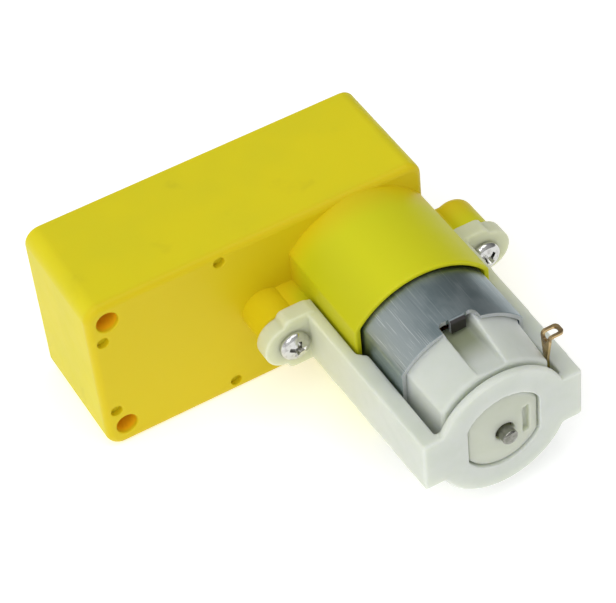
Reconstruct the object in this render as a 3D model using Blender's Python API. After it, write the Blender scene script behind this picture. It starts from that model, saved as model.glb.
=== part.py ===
"""Geared DC motor: a spur gearbox in an L shape with a small can motor clamped to its side.

Metres, +Z up. X runs along the gearbox, the motor points to -Y and the output shaft to +Y.
The assembly frame has X = 0 at the gearbox's left end, Y = 0 at its front face, which the motor
leaves, and Z = 0 at its bottom. An empty shifts it, so the world origin is at the bottom centre
of the whole object. Outlines are lists of (x, z) points, extruded or turned along Y.
"""
from math import acos
from math import cos
from math import hypot
from math import pi
from math import radians
from math import sin
from math import sqrt
from math import tan

import bmesh
import bpy

MM = 0.001

# Gearbox housing
BOX_LENGTH = 45.2 * MM
BOX_DEPTH = 16.4 * MM
BOX_HEIGHT = 23.4 * MM
CORNER_LEFT = 2.1 * MM
CORNER_RIGHT = 2.0 * MM
FRONT_ROUND = 0.9 * MM
WALL = 1.7 * MM
FRONT_WALL = 1.8 * MM
RIM = 0.95 * MM
COVER_THICKNESS = 1.7 * MM
GAP = 0.3 * MM
LEDGE_Y = BOX_DEPTH - COVER_THICKNESS - GAP

# Motor barrel on the housing, centred on the motor axis
AXIS_X = 35.6 * MM
AXIS_Z = 11.85 * MM
BARREL_RADIUS = 11.25 * MM
BARREL_HALF_WIDTH = 9.15 * MM
BARREL_LIP_Y = -15.4 * MM
POCKET_RADIUS = 10.7 * MM
POCKET_HALF_WIDTH = 8.4 * MM
PARTITION_Y = (-6.4 * MM, -4.0 * MM)
CORE_RADIUS = 5.5 * MM
NOSE_HOLE_RADIUS = 3.4 * MM

# Bracket, its ears and the bosses that it is screwed to
SCREW_OFFSET = 13.25 * MM
BOSS_RADIUS = 2.9 * MM
BOSS_FRONT_Y = -4.7 * MM
EAR_Y = (-7.3 * MM, BOSS_FRONT_Y - GAP)
EAR_RADIUS = 3.0 * MM
EAR_OFFSET = 14.0 * MM
EAR_HALF_HEIGHT = 3.9 * MM
ARM_HALF_HEIGHT = 3.6 * MM
ARM_OUTER_EAR = 11.1 * MM
ARM_OUTER_PLATE = 10.6 * MM
ARM_INNER_BARREL = BARREL_HALF_WIDTH + GAP
ARM_INNER_PLATE = 8.4 * MM
PLATE_Y = (-32.4 * MM, -31.2 * MM)
STRAP_CORNER = 0.35 * MM
PLATE_RADIUS = 8.8 * MM
PLATE_FRONT_ROUND = 0.25 * MM
PLATE_REAR_ROUND = 0.6 * MM
PLATE_HOLE_RADIUS = 5.45 * MM
PLATE_HOLE_HALF_WIDTH = 4.8 * MM
EAR_ROUND = 0.35 * MM
EAR_BLOCK_X = (9.7 * MM, 14.2 * MM)
EAR_BLOCK_CORNER = 0.9 * MM
EAR_HOLE_RADIUS = 1.0 * MM

# Motor
CAN_RADIUS = 10.4 * MM
CAN_HALF_WIDTH = 8.15 * MM
CAN_CORNER = 0.8 * MM
CAN_WALL = 0.6 * MM
CAN_Y = (-24.0 * MM, PARTITION_Y[0] - GAP)
TAB_HALF_WIDTH = 1.0 * MM
TAB_SETBACK = 0.7 * MM
TAB_THICKNESS = 0.5 * MM
TAB_RADII = (8.5 * MM, 9.9 * MM)
NOTCH_RADIUS = 0.75 * MM
NOTCH_OFFSET = 1.75 * MM
NOTCH_DEPTH = 1.35 * MM
NOSE_RADIUS = 3.05 * MM
NOSE_Y = -5.3 * MM
BELL_REAR_Y = PLATE_Y[1] + GAP
BELL_PLUG = (9.5 * MM, 7.25 * MM)
BELL_REAR = (9.1 * MM, 7.05 * MM)
BELL_CORNER = 0.7 * MM
BELL_HUB = (5.15 * MM, 4.5 * MM)
BELL_HUB_Y = -31.8 * MM
BELL_BOSS = (4.7 * MM, 4.1 * MM)
BELL_BOSS_Y = -32.8 * MM
BEARING_SEAT_Y = -32.0 * MM
SHAFT_HOLE_RADIUS = 1.4 * MM
GROOVE_HALF_WIDTH = 2.1 * MM
TERMINAL_Y = (-30.4 * MM, -28.7 * MM)
TERMINAL_THICKNESS = 0.35 * MM
TERMINAL_EYE = 0.5 * MM
BORE_RADIUS = 1.12 * MM
BEARING_RADII = (2.25 * MM, 2.0 * MM)
BEARING_SEAT_RADII = (2.4 * MM, 2.15 * MM)
SHAFT_RADIUS = 1.0 * MM
SHAFT_Y = (-34.0 * MM, 4.4 * MM)
ARMATURE_Y = (-18.6 * MM, -10.4 * MM)
ARMATURE_RADIUS = 6.9 * MM
MAGNET_Y = (-20.2 * MM, -8.8 * MM)
POLE_COUNT = 3

# Gear train: (module, driver teeth, wheel teeth) of each mesh, from the motor to the output
STAGE_1 = (0.40 * MM, 8, 32)
STAGE_2 = (0.45 * MM, 9, 27)
STAGE_3 = (0.48 * MM, 9, 36)
PRESSURE_ANGLE = radians(20)
PROFILE_SHIFT = 0.5
BACKLASH = 0.10 * MM
OUTPUT_X = 11.4 * MM
SECOND_AXLE_BEARING = radians(15)
AXLE_RADIUS = 0.75 * MM
AXLE_BORE_RADIUS = 0.88 * MM
FIRST_WHEEL_Y = (2.4 * MM, 3.9 * MM)
FIRST_PINION_END_Y = 6.5 * MM
SECOND_WHEEL_Y = (4.7 * MM, 6.2 * MM)
SECOND_PINION_END_Y = 10.5 * MM
OUTPUT_WHEEL_Y = (7.0 * MM, 10.0 * MM)
OUTPUT_HUB_Y = (4.0 * MM, 12.5 * MM)

# Output shaft: a double-D journal
OUTPUT_RADIUS = 2.7 * MM
OUTPUT_FLAT = 1.85 * MM
OUTPUT_TIP_Y = BOX_DEPTH + 9.0 * MM
OUTPUT_JOURNAL_RADIUS = 1.9 * MM
OUTPUT_COLLAR_HEIGHT = 0.6 * MM

# Fixings
MOUNT_HOLE_X = 2.7 * MM
MOUNT_HOLE_PITCH = 17.6 * MM
MOUNT_HOLE_RADIUS = 1.4 * MM
MOUNT_POST_RADIUS = 2.4 * MM
SCREW_POST_RADIUS = 1.75 * MM
COUNTERSINK_RADIUS = 1.9 * MM
COVER_COLLAR_RADIUS = 4.2 * MM
COVER_BOSS_RADIUS = 1.7 * MM
COVER_SCREW_PLACES = (
    (17.2 * MM, 19.5 * MM),
    (17.2 * MM, 4.2 * MM),
    (41.6 * MM, 19.6 * MM),
    (41.6 * MM, 4.1 * MM),
)
SHANK_RADIUS = 0.8 * MM
SHANK_HOLE_RADIUS = 0.95 * MM
DIMPLE_RADIUS = 0.75 * MM
DIMPLE_DEPTH = 0.8 * MM

SHARP_ANGLE = radians(35)
WELD_DISTANCE = 0.002 * MM
FINE = 48
MEDIUM = 24
SMALL = 14

# Finishes: colour, roughness, metallic
FINISHES = {
    "yellow_plastic": ((0.72, 0.64, 0.03), 0.42, 0.0),
    "natural_nylon": ((0.66, 0.68, 0.60), 0.45, 0.0),
    "motor_steel": ((0.34, 0.36, 0.39), 0.32, 1.0),
    "bright_steel": ((0.62, 0.62, 0.62), 0.22, 1.0),
    "gear_nylon": ((0.80, 0.79, 0.74), 0.50, 0.0),
    "shaft_nylon": ((0.86, 0.86, 0.83), 0.45, 0.0),
    "copper": ((0.72, 0.38, 0.20), 0.35, 1.0),
    "bronze": ((0.55, 0.38, 0.20), 0.45, 1.0),
    "ferrite": ((0.06, 0.06, 0.06), 0.70, 0.0),
    "core_steel": ((0.40, 0.40, 0.42), 0.50, 1.0),
    "enamelled_wire": ((0.60, 0.22, 0.08), 0.35, 0.6),
}


# ---------------------------------------------------------------- outlines

def arc(centre_x, centre_z, radius, start, end, steps):
    """Points from angle start to angle end, both included."""
    angles = [start + (end - start) * i / steps for i in range(steps + 1)]
    return [(centre_x + radius * cos(a), centre_z + radius * sin(a)) for a in angles]


def circle(radius, segments=MEDIUM, centre=(0.0, 0.0)):
    return arc(centre[0], centre[1], radius, 0.0, 2 * pi, segments)[:-1]


def rectangle(x_low, x_high, z_low, z_high):
    return [(x_low, z_low), (x_high, z_low), (x_high, z_high), (x_low, z_high)]


def rounded_rectangle(x_low, x_high, z_low, z_high, left, right, steps=4):
    """A rectangle with corner radius left on its low-x side and right on its high-x side."""
    quarter = pi / 2
    points = arc(x_high - right, z_low + right, right, -quarter, 0.0, steps)
    points += arc(x_high - right, z_high - right, right, 0.0, quarter, steps)
    points += arc(x_low + left, z_high - left, left, quarter, pi, steps)
    points += arc(x_low + left, z_low + left, left, pi, 3 * quarter, steps)
    return points


def box_outline(inset):
    """The gearbox's outline, moved inwards."""
    return rounded_rectangle(
        inset, BOX_LENGTH - inset, inset, BOX_HEIGHT - inset,
        max(CORNER_LEFT - inset, 0.4 * MM), max(CORNER_RIGHT - inset, 0.4 * MM))


def flatted_circle(radius, half_width, corner=0.0, steps=14):
    """A circle cut by two upright flats, with its four corners rounded."""
    if corner == 0.0:
        half_angle = acos(half_width / radius)
        points = arc(0, 0, radius, half_angle, pi - half_angle, steps)
        return points + arc(0, 0, radius, pi + half_angle, 2 * pi - half_angle, steps)
    centre_x = half_width - corner
    centre_z = sqrt((radius - corner) ** 2 - centre_x ** 2)
    bearing = acos(centre_x / (radius - corner))
    points = arc(centre_x, centre_z, corner, 0, bearing, 3)
    points += arc(0, 0, radius, bearing, pi - bearing, steps)[1:-1]
    points += arc(-centre_x, centre_z, corner, pi - bearing, pi, 3)
    points += arc(-centre_x, -centre_z, corner, pi, pi + bearing, 3)
    points += arc(0, 0, radius, pi + bearing, 2 * pi - bearing, steps)[1:-1]
    points += arc(centre_x, -centre_z, corner, 2 * pi - bearing, 2 * pi, 3)
    return points


def inset_outline(outline, distance):
    """The outline moved inwards by a distance, corner by corner. It runs anticlockwise."""
    moved = []
    count = len(outline)
    for i in range(count):
        before = outline[i - 1]
        here = outline[i]
        after = outline[(i + 1) % count]
        first = unit(here[0] - before[0], here[1] - before[1])
        second = unit(after[0] - here[0], after[1] - here[1])
        normal = (-first[1] - second[1], first[0] + second[0])
        scale = 2 * distance / (normal[0] ** 2 + normal[1] ** 2)
        moved.append((here[0] + normal[0] * scale, here[1] + normal[1] * scale))
    return moved


def unit(x, z):
    length = hypot(x, z)
    return x / length, z / length


# ---------------------------------------------------------------- gear geometry

def involute(angle):
    return tan(angle) - angle


def gear_outline(module, teeth, shift, turn):
    """Involute spur gear with profile shift, one tooth centred on the angle turn."""
    pitch_radius = module * teeth / 2
    base_radius = pitch_radius * cos(PRESSURE_ANGLE)
    tip_radius = pitch_radius + module * (0.9 + shift)
    root_radius = pitch_radius - module * (1.25 - shift)
    half_tooth = (pi / 2 + 2 * shift * tan(PRESSURE_ANGLE)) / teeth - BACKLASH / (4 * pitch_radius)
    flank_start = max(base_radius, root_radius)
    flank = []
    for step in range(3):
        radius = flank_start + (tip_radius - flank_start) * step / 2
        rolled = acos(min(1.0, base_radius / radius))
        flank.append((radius, half_tooth + involute(PRESSURE_ANGLE) - involute(rolled)))
    if root_radius < base_radius:
        flank.insert(0, (root_radius, flank[0][1]))
    points = []
    for tooth in range(teeth):
        middle = turn + 2 * pi * tooth / teeth
        side = [(radius, middle - angle) for radius, angle in flank]
        side += [(radius, middle + angle) for radius, angle in reversed(flank)]
        points += [(radius * cos(a), radius * sin(a)) for radius, a in side]
    return points


def meshed_turn(first_centre, first_turn, first_teeth, second_centre, second_teeth):
    """The angle of the second gear's tooth at which it meshes with the first gear."""
    dx = second_centre[0] - first_centre[0]
    dz = second_centre[1] - first_centre[1]
    bearing = angle_of(dx, dz)
    fraction = (bearing - first_turn) * first_teeth / (2 * pi)
    return bearing + pi - (0.5 - fraction) * 2 * pi / second_teeth


def angle_of(x, z):
    angle = acos(x / hypot(x, z))
    return angle if z >= 0 else -angle


def centre_distance(stage):
    return stage[0] * (stage[1] + stage[2]) / 2


def circle_meeting(centre_a, radius_a, centre_b, radius_b):
    """The lower of the two points where circles round two centres meet."""
    dx = centre_b[0] - centre_a[0]
    dz = centre_b[1] - centre_a[1]
    distance = hypot(dx, dz)
    along = (radius_a ** 2 - radius_b ** 2 + distance ** 2) / (2 * distance)
    across = sqrt(radius_a ** 2 - along ** 2)
    middle = (centre_a[0] + along * dx / distance, centre_a[1] + along * dz / distance)
    options = [(middle[0] + sign * across * dz / distance, middle[1] - sign * across * dx / distance)
               for sign in (1, -1)]
    return min(options, key=lambda point: point[1])


MOTOR_AXIS = (AXIS_X, AXIS_Z)
OUTPUT_AXIS = (OUTPUT_X, AXIS_Z)
SECOND_AXIS = (OUTPUT_X + centre_distance(STAGE_3) * cos(SECOND_AXLE_BEARING),
               AXIS_Z + centre_distance(STAGE_3) * sin(SECOND_AXLE_BEARING))
FIRST_AXIS = circle_meeting(MOTOR_AXIS, centre_distance(STAGE_1),
                            SECOND_AXIS, centre_distance(STAGE_2))
MOUNT_HOLES = [(MOUNT_HOLE_X, AXIS_Z + side * MOUNT_HOLE_PITCH / 2) for side in (1, -1)]


# ---------------------------------------------------------------- solids

def outward(bm):
    """Make all faces of a closed solid point outwards."""
    bm.normal_update()
    bmesh.ops.recalc_face_normals(bm, faces=bm.faces)
    if bm.calc_volume(signed=True) < 0:
        bmesh.ops.reverse_faces(bm, faces=bm.faces)
    return bm


def loft(sections):
    """A closed solid through outlines of equal point count, given as (outline, y) pairs."""
    bm = bmesh.new()
    rings = [[bm.verts.new((x, y, z)) for x, z in outline] for outline, y in sections]
    count = len(rings[0])
    for ring, following in zip(rings, rings[1:]):
        for i in range(count):
            j = (i + 1) % count
            bm.faces.new((ring[i], ring[j], following[j], following[i]))
    bm.faces.new(rings[0])
    bm.faces.new(rings[-1])
    return outward(bm)


def prism(outline, y_low, y_high):
    return loft([(outline, y_low), (outline, y_high)])


def rounded_prism(outline, y_low, y_high, low=0.0, high=0.0, steps=3):
    """A prism whose end edges are rounded by the radii low and high."""
    sections = []
    for step in range(steps + 1 if low else 1):
        angle = step * pi / (2 * steps)
        sections.append((inset_outline(outline, low * (1 - sin(angle))), y_low + low * (1 - cos(angle))))
    for step in range(steps + 1 if high else 1):
        angle = (steps - step) * pi / (2 * steps) if high else 0
        sections.append((inset_outline(outline, high * (1 - sin(angle))), y_high - high * (1 - cos(angle))))
    return loft(sections)


def upright_prism(outline, z_low, z_high):
    """A prism along Z whose outline is a list of (x, y) points."""
    bm = loft([(outline, z_low), (outline, z_high)])
    for vertex in bm.verts:
        vertex.co.yz = (vertex.co.z, vertex.co.y)
    return outward(bm)


def block(x_low, x_high, y_low, y_high, z_low, z_high):
    return prism(rectangle(x_low, x_high, z_low, z_high), y_low, y_high)


def turned(profile, segments=MEDIUM):
    """A solid turned about Y. Its profile is a closed loop of (radius, y) points."""
    bm = bmesh.new()
    turns = [2 * pi * i / segments for i in range(segments)]
    rings = []
    for radius, y in profile:
        if radius == 0:
            rings.append([bm.verts.new((0, y, 0))])
        else:
            rings.append([bm.verts.new((radius * cos(t), y, radius * sin(t))) for t in turns])
    for ring, following in zip(rings, rings[1:] + rings[:1]):
        if len(ring) == 1 and len(following) == 1:
            continue
        for i in range(segments):
            j = (i + 1) % segments
            corners = [ring[i % len(ring)], ring[j % len(ring)],
                       following[j % len(following)], following[i % len(following)]]
            bm.faces.new(list(dict.fromkeys(corners)))
    return outward(bm)


def rod(radius, y_low, y_high, segments=MEDIUM, chamfer=0.0):
    if chamfer == 0.0:
        return prism(circle(radius, segments), y_low, y_high)
    return turned([(0, y_low), (radius - chamfer, y_low), (radius, y_low + chamfer),
                   (radius, y_high - chamfer), (radius - chamfer, y_high), (0, y_high)], segments)


def sleeve(outer, inner, y_low, y_high, segments=MEDIUM):
    return turned([(inner, y_low), (outer, y_low), (outer, y_high), (inner, y_high)], segments)


# ---------------------------------------------------------------- objects

def clear_scene():
    for item in list(bpy.data.objects):
        bpy.data.objects.remove(item, do_unlink=True)


def make_finish(name, finish):
    colour, roughness, metallic = FINISHES[finish]
    material = bpy.data.materials.new(name + "_" + finish)
    material.use_nodes = True
    shader = material.node_tree.nodes["Principled BSDF"]
    shader.inputs["Base Color"].default_value = (*colour, 1.0)
    shader.inputs["Roughness"].default_value = roughness
    shader.inputs["Metallic"].default_value = metallic
    return material


def shade(mesh):
    mesh.shade_smooth()
    mesh.set_sharp_from_angle(angle=SHARP_ANGLE)


def weld(mesh):
    """Merge the twin points and slivers that a cut can leave."""
    bm = bmesh.new()
    bm.from_mesh(mesh)
    bmesh.ops.remove_doubles(bm, verts=bm.verts, dist=WELD_DISTANCE)
    bmesh.ops.dissolve_degenerate(bm, dist=WELD_DISTANCE, edges=bm.edges)
    bm.to_mesh(mesh)
    bm.free()


class Assembly:
    """The empty that all parts hang from, and the work of adding and cutting parts."""

    def __init__(self, origin):
        self.root = bpy.data.objects.new("assembly_frame", None)
        self.root.location = [-value for value in origin]
        bpy.context.scene.collection.objects.link(self.root)

    def add(self, name, bm, finish, centre=(0.0, 0.0), joined=(), cut=()):
        """Add a part, with its origin on the line along Y through centre.

        The solids in joined and cut are in the part's own frame. They are united with it, and
        then taken out of it, in the order given.
        """
        mesh = bpy.data.meshes.new(name)
        bm.to_mesh(mesh)
        bm.free()
        part = bpy.data.objects.new(name, mesh)
        part.location = (centre[0], 0.0, centre[1])
        part.parent = self.root
        mesh.materials.append(make_finish(name, finish))
        bpy.context.scene.collection.objects.link(part)
        for index, tool in enumerate(joined):
            self.combine(part, tool, "UNION", f"{name}_join_{index + 1}")
        for index, tool in enumerate(cut):
            self.combine(part, tool, "DIFFERENCE", f"{name}_cut_{index + 1}")
        shade(part.data)
        return part

    def combine(self, part, bm, operation, name):
        """Unite a solid with the part, or cut it away, and keep the result as the part's mesh."""
        mesh = bpy.data.meshes.new(name)
        bm.to_mesh(mesh)
        bm.free()
        tool = bpy.data.objects.new(name, mesh)
        tool.location = part.location
        tool.parent = self.root
        tool.hide_render = True
        tool.display_type = "WIRE"
        bpy.context.scene.collection.objects.link(tool)
        modifier = part.modifiers.new(name, "BOOLEAN")
        modifier.operation = operation
        modifier.object = tool
        evaluated = part.evaluated_get(bpy.context.evaluated_depsgraph_get())
        result = bpy.data.meshes.new_from_object(evaluated)
        part.modifiers.clear()
        weld(result)
        part.data = result
        bpy.data.objects.remove(tool, do_unlink=True)


def shifted(bm, x=0.0, y=0.0, z=0.0):
    bmesh.ops.translate(bm, verts=bm.verts, vec=(x, y, z))
    return bm


def at(centre, bm):
    """Move a solid onto the line along Y through a centre."""
    return shifted(bm, centre[0], 0.0, centre[1])


# ---------------------------------------------------------------- gearbox

def add_gearbox_housing(assembly):
    """Box, motor barrel and screw bosses in one moulding, open at the back."""
    barrel = flatted_circle(BARREL_RADIUS, BARREL_HALF_WIDTH, 0.8 * MM, 16)
    pocket = flatted_circle(POCKET_RADIUS, POCKET_HALF_WIDTH, CAN_CORNER, 16)
    core_y = (PARTITION_Y[1], FRONT_WALL + 0.2 * MM)
    cavity = prism(box_outline(WALL), FRONT_WALL, BOX_DEPTH + 1 * MM)
    shell = rounded_prism(box_outline(0.0), 0.0, BOX_DEPTH, low=FRONT_ROUND, steps=3)
    joined = [at(MOTOR_AXIS, rounded_prism(barrel, BARREL_LIP_Y, FRONT_WALL, low=0.35 * MM, steps=2))]
    joined += [housing_boss(side) for side in (-1, 1)]
    joined += [housing_rib(side) for side in (-1, 1)]
    cover_seat = prism(box_outline(RIM), LEDGE_Y, BOX_DEPTH + 1 * MM)
    part = assembly.add("gearbox_housing", shell, "yellow_plastic", joined=joined,
                        cut=[cavity, cover_seat])
    for index, tool in enumerate(housing_posts()):
        assembly.combine(part, tool, "UNION", f"housing_post_{index + 1}")
    cuts = [at(MOTOR_AXIS, prism(pocket, BARREL_LIP_Y - 1 * MM, PARTITION_Y[0]))]
    cuts.append(at(MOTOR_AXIS, rod(NOSE_HOLE_RADIUS, PARTITION_Y[0] - 1 * MM, PARTITION_Y[1] + 1 * MM)))
    cuts.append(at(MOTOR_AXIS, rod(CORE_RADIUS, *core_y)))
    cuts += housing_holes()
    for index, tool in enumerate(cuts):
        assembly.combine(part, tool, "DIFFERENCE", f"housing_cut_{index + 1}")
    shade(part.data)


def housing_boss(side):
    """A round boss for a bracket screw, domed at the back where it stands free."""
    back_y = 1.0 * MM
    dome = 1.2 * MM
    profile = [(0, BOSS_FRONT_Y), (BOSS_RADIUS, BOSS_FRONT_Y), (BOSS_RADIUS, back_y - dome)]
    profile += [(BOSS_RADIUS - dome * (1 - cos(a)), back_y - dome + dome * sin(a))
                for a in (pi / 6, pi / 3, pi / 2)]
    profile.append((0, back_y))
    return at((AXIS_X + side * SCREW_OFFSET, AXIS_Z), turned(profile, MEDIUM))


def housing_rib(side):
    """The web between a boss and the barrel."""
    half_height = 2.3 * MM
    inner = AXIS_X + side * (BARREL_HALF_WIDTH - 1 * MM)
    outer = AXIS_X + side * SCREW_OFFSET
    return block(min(inner, outer), max(inner, outer), BOSS_FRONT_Y + 0.4 * MM, 0.8 * MM,
                 AXIS_Z - half_height, AXIS_Z + half_height)


def housing_posts():
    """Inner posts: round the mounting holes, for the cover screws and for the axle pins."""
    start_y = FRONT_WALL - 0.5 * MM
    posts = [at(place, rod(MOUNT_POST_RADIUS, start_y, BOX_DEPTH, MEDIUM)) for place in MOUNT_HOLES]
    for place in COVER_SCREW_PLACES:
        front = start_y if place[0] > AXIS_X else 10.4 * MM
        posts.append(at(place, rod(SCREW_POST_RADIUS, front, LEDGE_Y, SMALL)))
        wall_z = BOX_HEIGHT - WALL / 2 if place[1] > AXIS_Z else WALL / 2
        posts.append(block(place[0] - 1 * MM, place[0] + 1 * MM, front, LEDGE_Y - 0.2 * MM,
                           min(place[1], wall_z), max(place[1], wall_z)))
    posts.append(at(FIRST_AXIS, rod(1.6 * MM, start_y, FIRST_WHEEL_Y[0] - 0.15 * MM, SMALL)))
    posts.append(at(SECOND_AXIS, rod(1.3 * MM, start_y, SECOND_WHEEL_Y[0] - 0.2 * MM, SMALL)))
    posts.append(at(OUTPUT_AXIS, rod(3.4 * MM, start_y, OUTPUT_HUB_Y[0] - 0.2 * MM, MEDIUM)))
    return posts


def housing_holes():
    """Mounting holes, screw pilots, axle sockets and the dimples in the front face."""
    holes = [at(place, rod(MOUNT_HOLE_RADIUS, -1 * MM, BOX_DEPTH + 1 * MM, MEDIUM))
             for place in MOUNT_HOLES]
    for place in COVER_SCREW_PLACES:
        holes.append(at(place, rod(SHANK_HOLE_RADIUS, 8.0 * MM, LEDGE_Y + 1 * MM, SMALL)))
    for side in (-1, 1):
        place = (AXIS_X + side * SCREW_OFFSET, AXIS_Z)
        holes.append(at(place, rod(SHANK_HOLE_RADIUS, BOSS_FRONT_Y - 1 * MM, -0.6 * MM, SMALL)))
    for place in (FIRST_AXIS, SECOND_AXIS):
        holes.append(at(place, rod(AXLE_BORE_RADIUS, 0.9 * MM, 6 * MM, SMALL)))
    holes.append(at(OUTPUT_AXIS, rod(OUTPUT_JOURNAL_RADIUS + 0.15 * MM, 0.9 * MM, 6 * MM, MEDIUM)))
    dimple_places = [(1.7 * MM, AXIS_Z + side * 5.9 * MM) for side in (1, -1)]
    dimple_places += [(17.5 * MM, AXIS_Z + side * 10.15 * MM) for side in (1, -1)]
    for place in dimple_places:
        holes.append(at(place, rod(DIMPLE_RADIUS, -1 * MM, DIMPLE_DEPTH, SMALL)))
    return holes


def add_gearbox_cover(assembly):
    """A plate let into the back of the housing, with the output shaft's collar."""
    plate = rounded_prism(box_outline(RIM + GAP), LEDGE_Y + GAP, BOX_DEPTH, high=0.2 * MM, steps=2)
    collar_top = BOX_DEPTH + OUTPUT_COLLAR_HEIGHT
    boss_y = (13.3 * MM, LEDGE_Y + 1 * MM)
    joined = [at(OUTPUT_AXIS, rod(COVER_COLLAR_RADIUS, 12.8 * MM, collar_top, MEDIUM, chamfer=0.2 * MM))]
    joined += [at(place, rod(COVER_BOSS_RADIUS, *boss_y, SMALL)) for place in (FIRST_AXIS, SECOND_AXIS)]
    cut = [at(OUTPUT_AXIS, rod(OUTPUT_RADIUS + 0.15 * MM, 12 * MM, collar_top + 1 * MM, MEDIUM))]
    cut += [at(place, rod(AXLE_BORE_RADIUS, 12 * MM, 15.6 * MM, SMALL))
            for place in (FIRST_AXIS, SECOND_AXIS)]
    cut += [at(place, rod(MOUNT_POST_RADIUS + GAP, 12 * MM, 18 * MM, MEDIUM)) for place in MOUNT_HOLES]
    for place in COVER_SCREW_PLACES:
        cut.append(at(place, rod(SHANK_HOLE_RADIUS, 12 * MM, 18 * MM, SMALL)))
        cut.append(at(place, rod(COUNTERSINK_RADIUS, BOX_DEPTH - 1.0 * MM, 18 * MM, SMALL)))
    assembly.add("gearbox_cover", plate, "yellow_plastic", joined=joined, cut=cut)


def screw_solid(head_radius, head_height, length):
    """A pan-head screw along +Y from its head, with the seat of the head at y = 0."""
    rounding = head_height * 0.6
    profile = [(0, -head_height)]
    profile.append((head_radius - rounding, -head_height))
    profile += [(head_radius - rounding * (1 - sin(a)), -head_height + rounding * (1 - cos(a)))
                for a in (pi / 6, pi / 3, pi / 2)]
    profile += [(head_radius, 0), (SHANK_RADIUS, 0), (SHANK_RADIUS, length - 0.8 * MM), (0, length)]
    return turned(profile, SMALL)


def cross_recess(head_radius, head_height):
    """Two crossed slots in the top of a screw head."""
    half_width = 0.22 * MM
    reach = head_radius * 0.62
    depth = head_height * 0.6
    top = -head_height - 1 * MM
    return [block(-reach, reach, top, -head_height + depth, -half_width, half_width),
            block(-half_width, half_width, top, -head_height + depth, -reach, reach)]


def turned_round(bm):
    """Turn a solid by half a turn about Z, so that it points the other way along Y."""
    for vertex in bm.verts:
        vertex.co.x = -vertex.co.x
        vertex.co.y = -vertex.co.y
    return bm


def add_cover_screws(assembly):
    head_radius = 1.6 * MM
    head_height = 0.8 * MM
    seat_y = BOX_DEPTH - 0.9 * MM
    for index, place in enumerate(COVER_SCREW_PLACES):
        screw = turned_round(screw_solid(head_radius, head_height, 5.0 * MM))
        slots = [turned_round(slot) for slot in cross_recess(head_radius, head_height)]
        for solid in [screw] + slots:
            shifted(solid, y=seat_y)
        assembly.add(f"cover_screw_{index + 1}", screw, "bright_steel", place, cut=slots)


# ---------------------------------------------------------------- bracket

def add_motor_bracket(assembly):
    """The nylon strap round the motor's rear, screwed to the housing by its two ears."""
    strap = upright_prism(strap_outline(), -ARM_HALF_HEIGHT, ARM_HALF_HEIGHT)
    disc = rounded_prism(circle(PLATE_RADIUS, FINE), *PLATE_Y, low=PLATE_FRONT_ROUND,
                         high=PLATE_REAR_ROUND, steps=2)
    ears = [bracket_ear(side) for side in (-1, 1)]
    ear_blocks = [bracket_ear_block(side) for side in (-1, 1)]
    hole = flatted_circle(PLATE_HOLE_RADIUS, PLATE_HOLE_HALF_WIDTH, 0.0, 16)
    cut = [prism(hole, PLATE_Y[0] - 1 * MM, PLATE_Y[1] + 1 * MM)]
    for side in (-1, 1):
        tool = rod(EAR_HOLE_RADIUS, EAR_Y[0] - 1 * MM, EAR_Y[1] + 1 * MM, SMALL)
        cut.append(shifted(tool, x=side * SCREW_OFFSET))
    assembly.add("motor_bracket", strap, "natural_nylon", MOTOR_AXIS,
                 joined=[disc] + ears + ear_blocks, cut=cut)


def strap_outline():
    """The strap seen from above: a U of (x, y) points, with rounded outer corners."""
    step_y = BARREL_LIP_Y - GAP
    right = [(ARM_OUTER_EAR, EAR_Y[1]), (ARM_INNER_BARREL, EAR_Y[1]), (ARM_INNER_BARREL, step_y),
             (ARM_INNER_PLATE, step_y - 1.0 * MM), (ARM_INNER_PLATE, PLATE_Y[1])]
    left = [(-x, y) for x, y in reversed(right)]
    centre_x = ARM_OUTER_PLATE - STRAP_CORNER
    centre_y = PLATE_Y[0] + STRAP_CORNER
    outer_left = arc(-centre_x, centre_y, STRAP_CORNER, pi, 1.5 * pi, 3)
    outer_right = arc(centre_x, centre_y, STRAP_CORNER, 1.5 * pi, 2 * pi, 3)
    return right + left + outer_left + outer_right


def bracket_ear(side):
    ear = rounded_prism(circle(EAR_RADIUS, MEDIUM), *EAR_Y, low=EAR_ROUND, steps=2)
    return shifted(ear, x=side * EAR_OFFSET)


def bracket_ear_block(side):
    near, far = EAR_BLOCK_X
    outline = rounded_rectangle(-(far - near) / 2, (far - near) / 2, -EAR_HALF_HEIGHT, EAR_HALF_HEIGHT,
                                EAR_BLOCK_CORNER, EAR_BLOCK_CORNER, 3)
    ear = rounded_prism(outline, *EAR_Y, low=EAR_ROUND, steps=2)
    return shifted(ear, x=side * (near + far) / 2)


def add_bracket_screws(assembly):
    head_radius = 2.0 * MM
    head_height = 1.3 * MM
    for side, name in ((-1, "bracket_screw_left"), (1, "bracket_screw_right")):
        screw = screw_solid(head_radius, head_height, 6.4 * MM)
        slots = cross_recess(head_radius, head_height)
        for solid in [screw] + slots:
            shifted(solid, y=EAR_Y[0] - 0.05 * MM)
        place = (AXIS_X + side * SCREW_OFFSET, AXIS_Z)
        assembly.add(name, screw, "bright_steel", place, cut=slots)


# ---------------------------------------------------------------- motor

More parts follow.
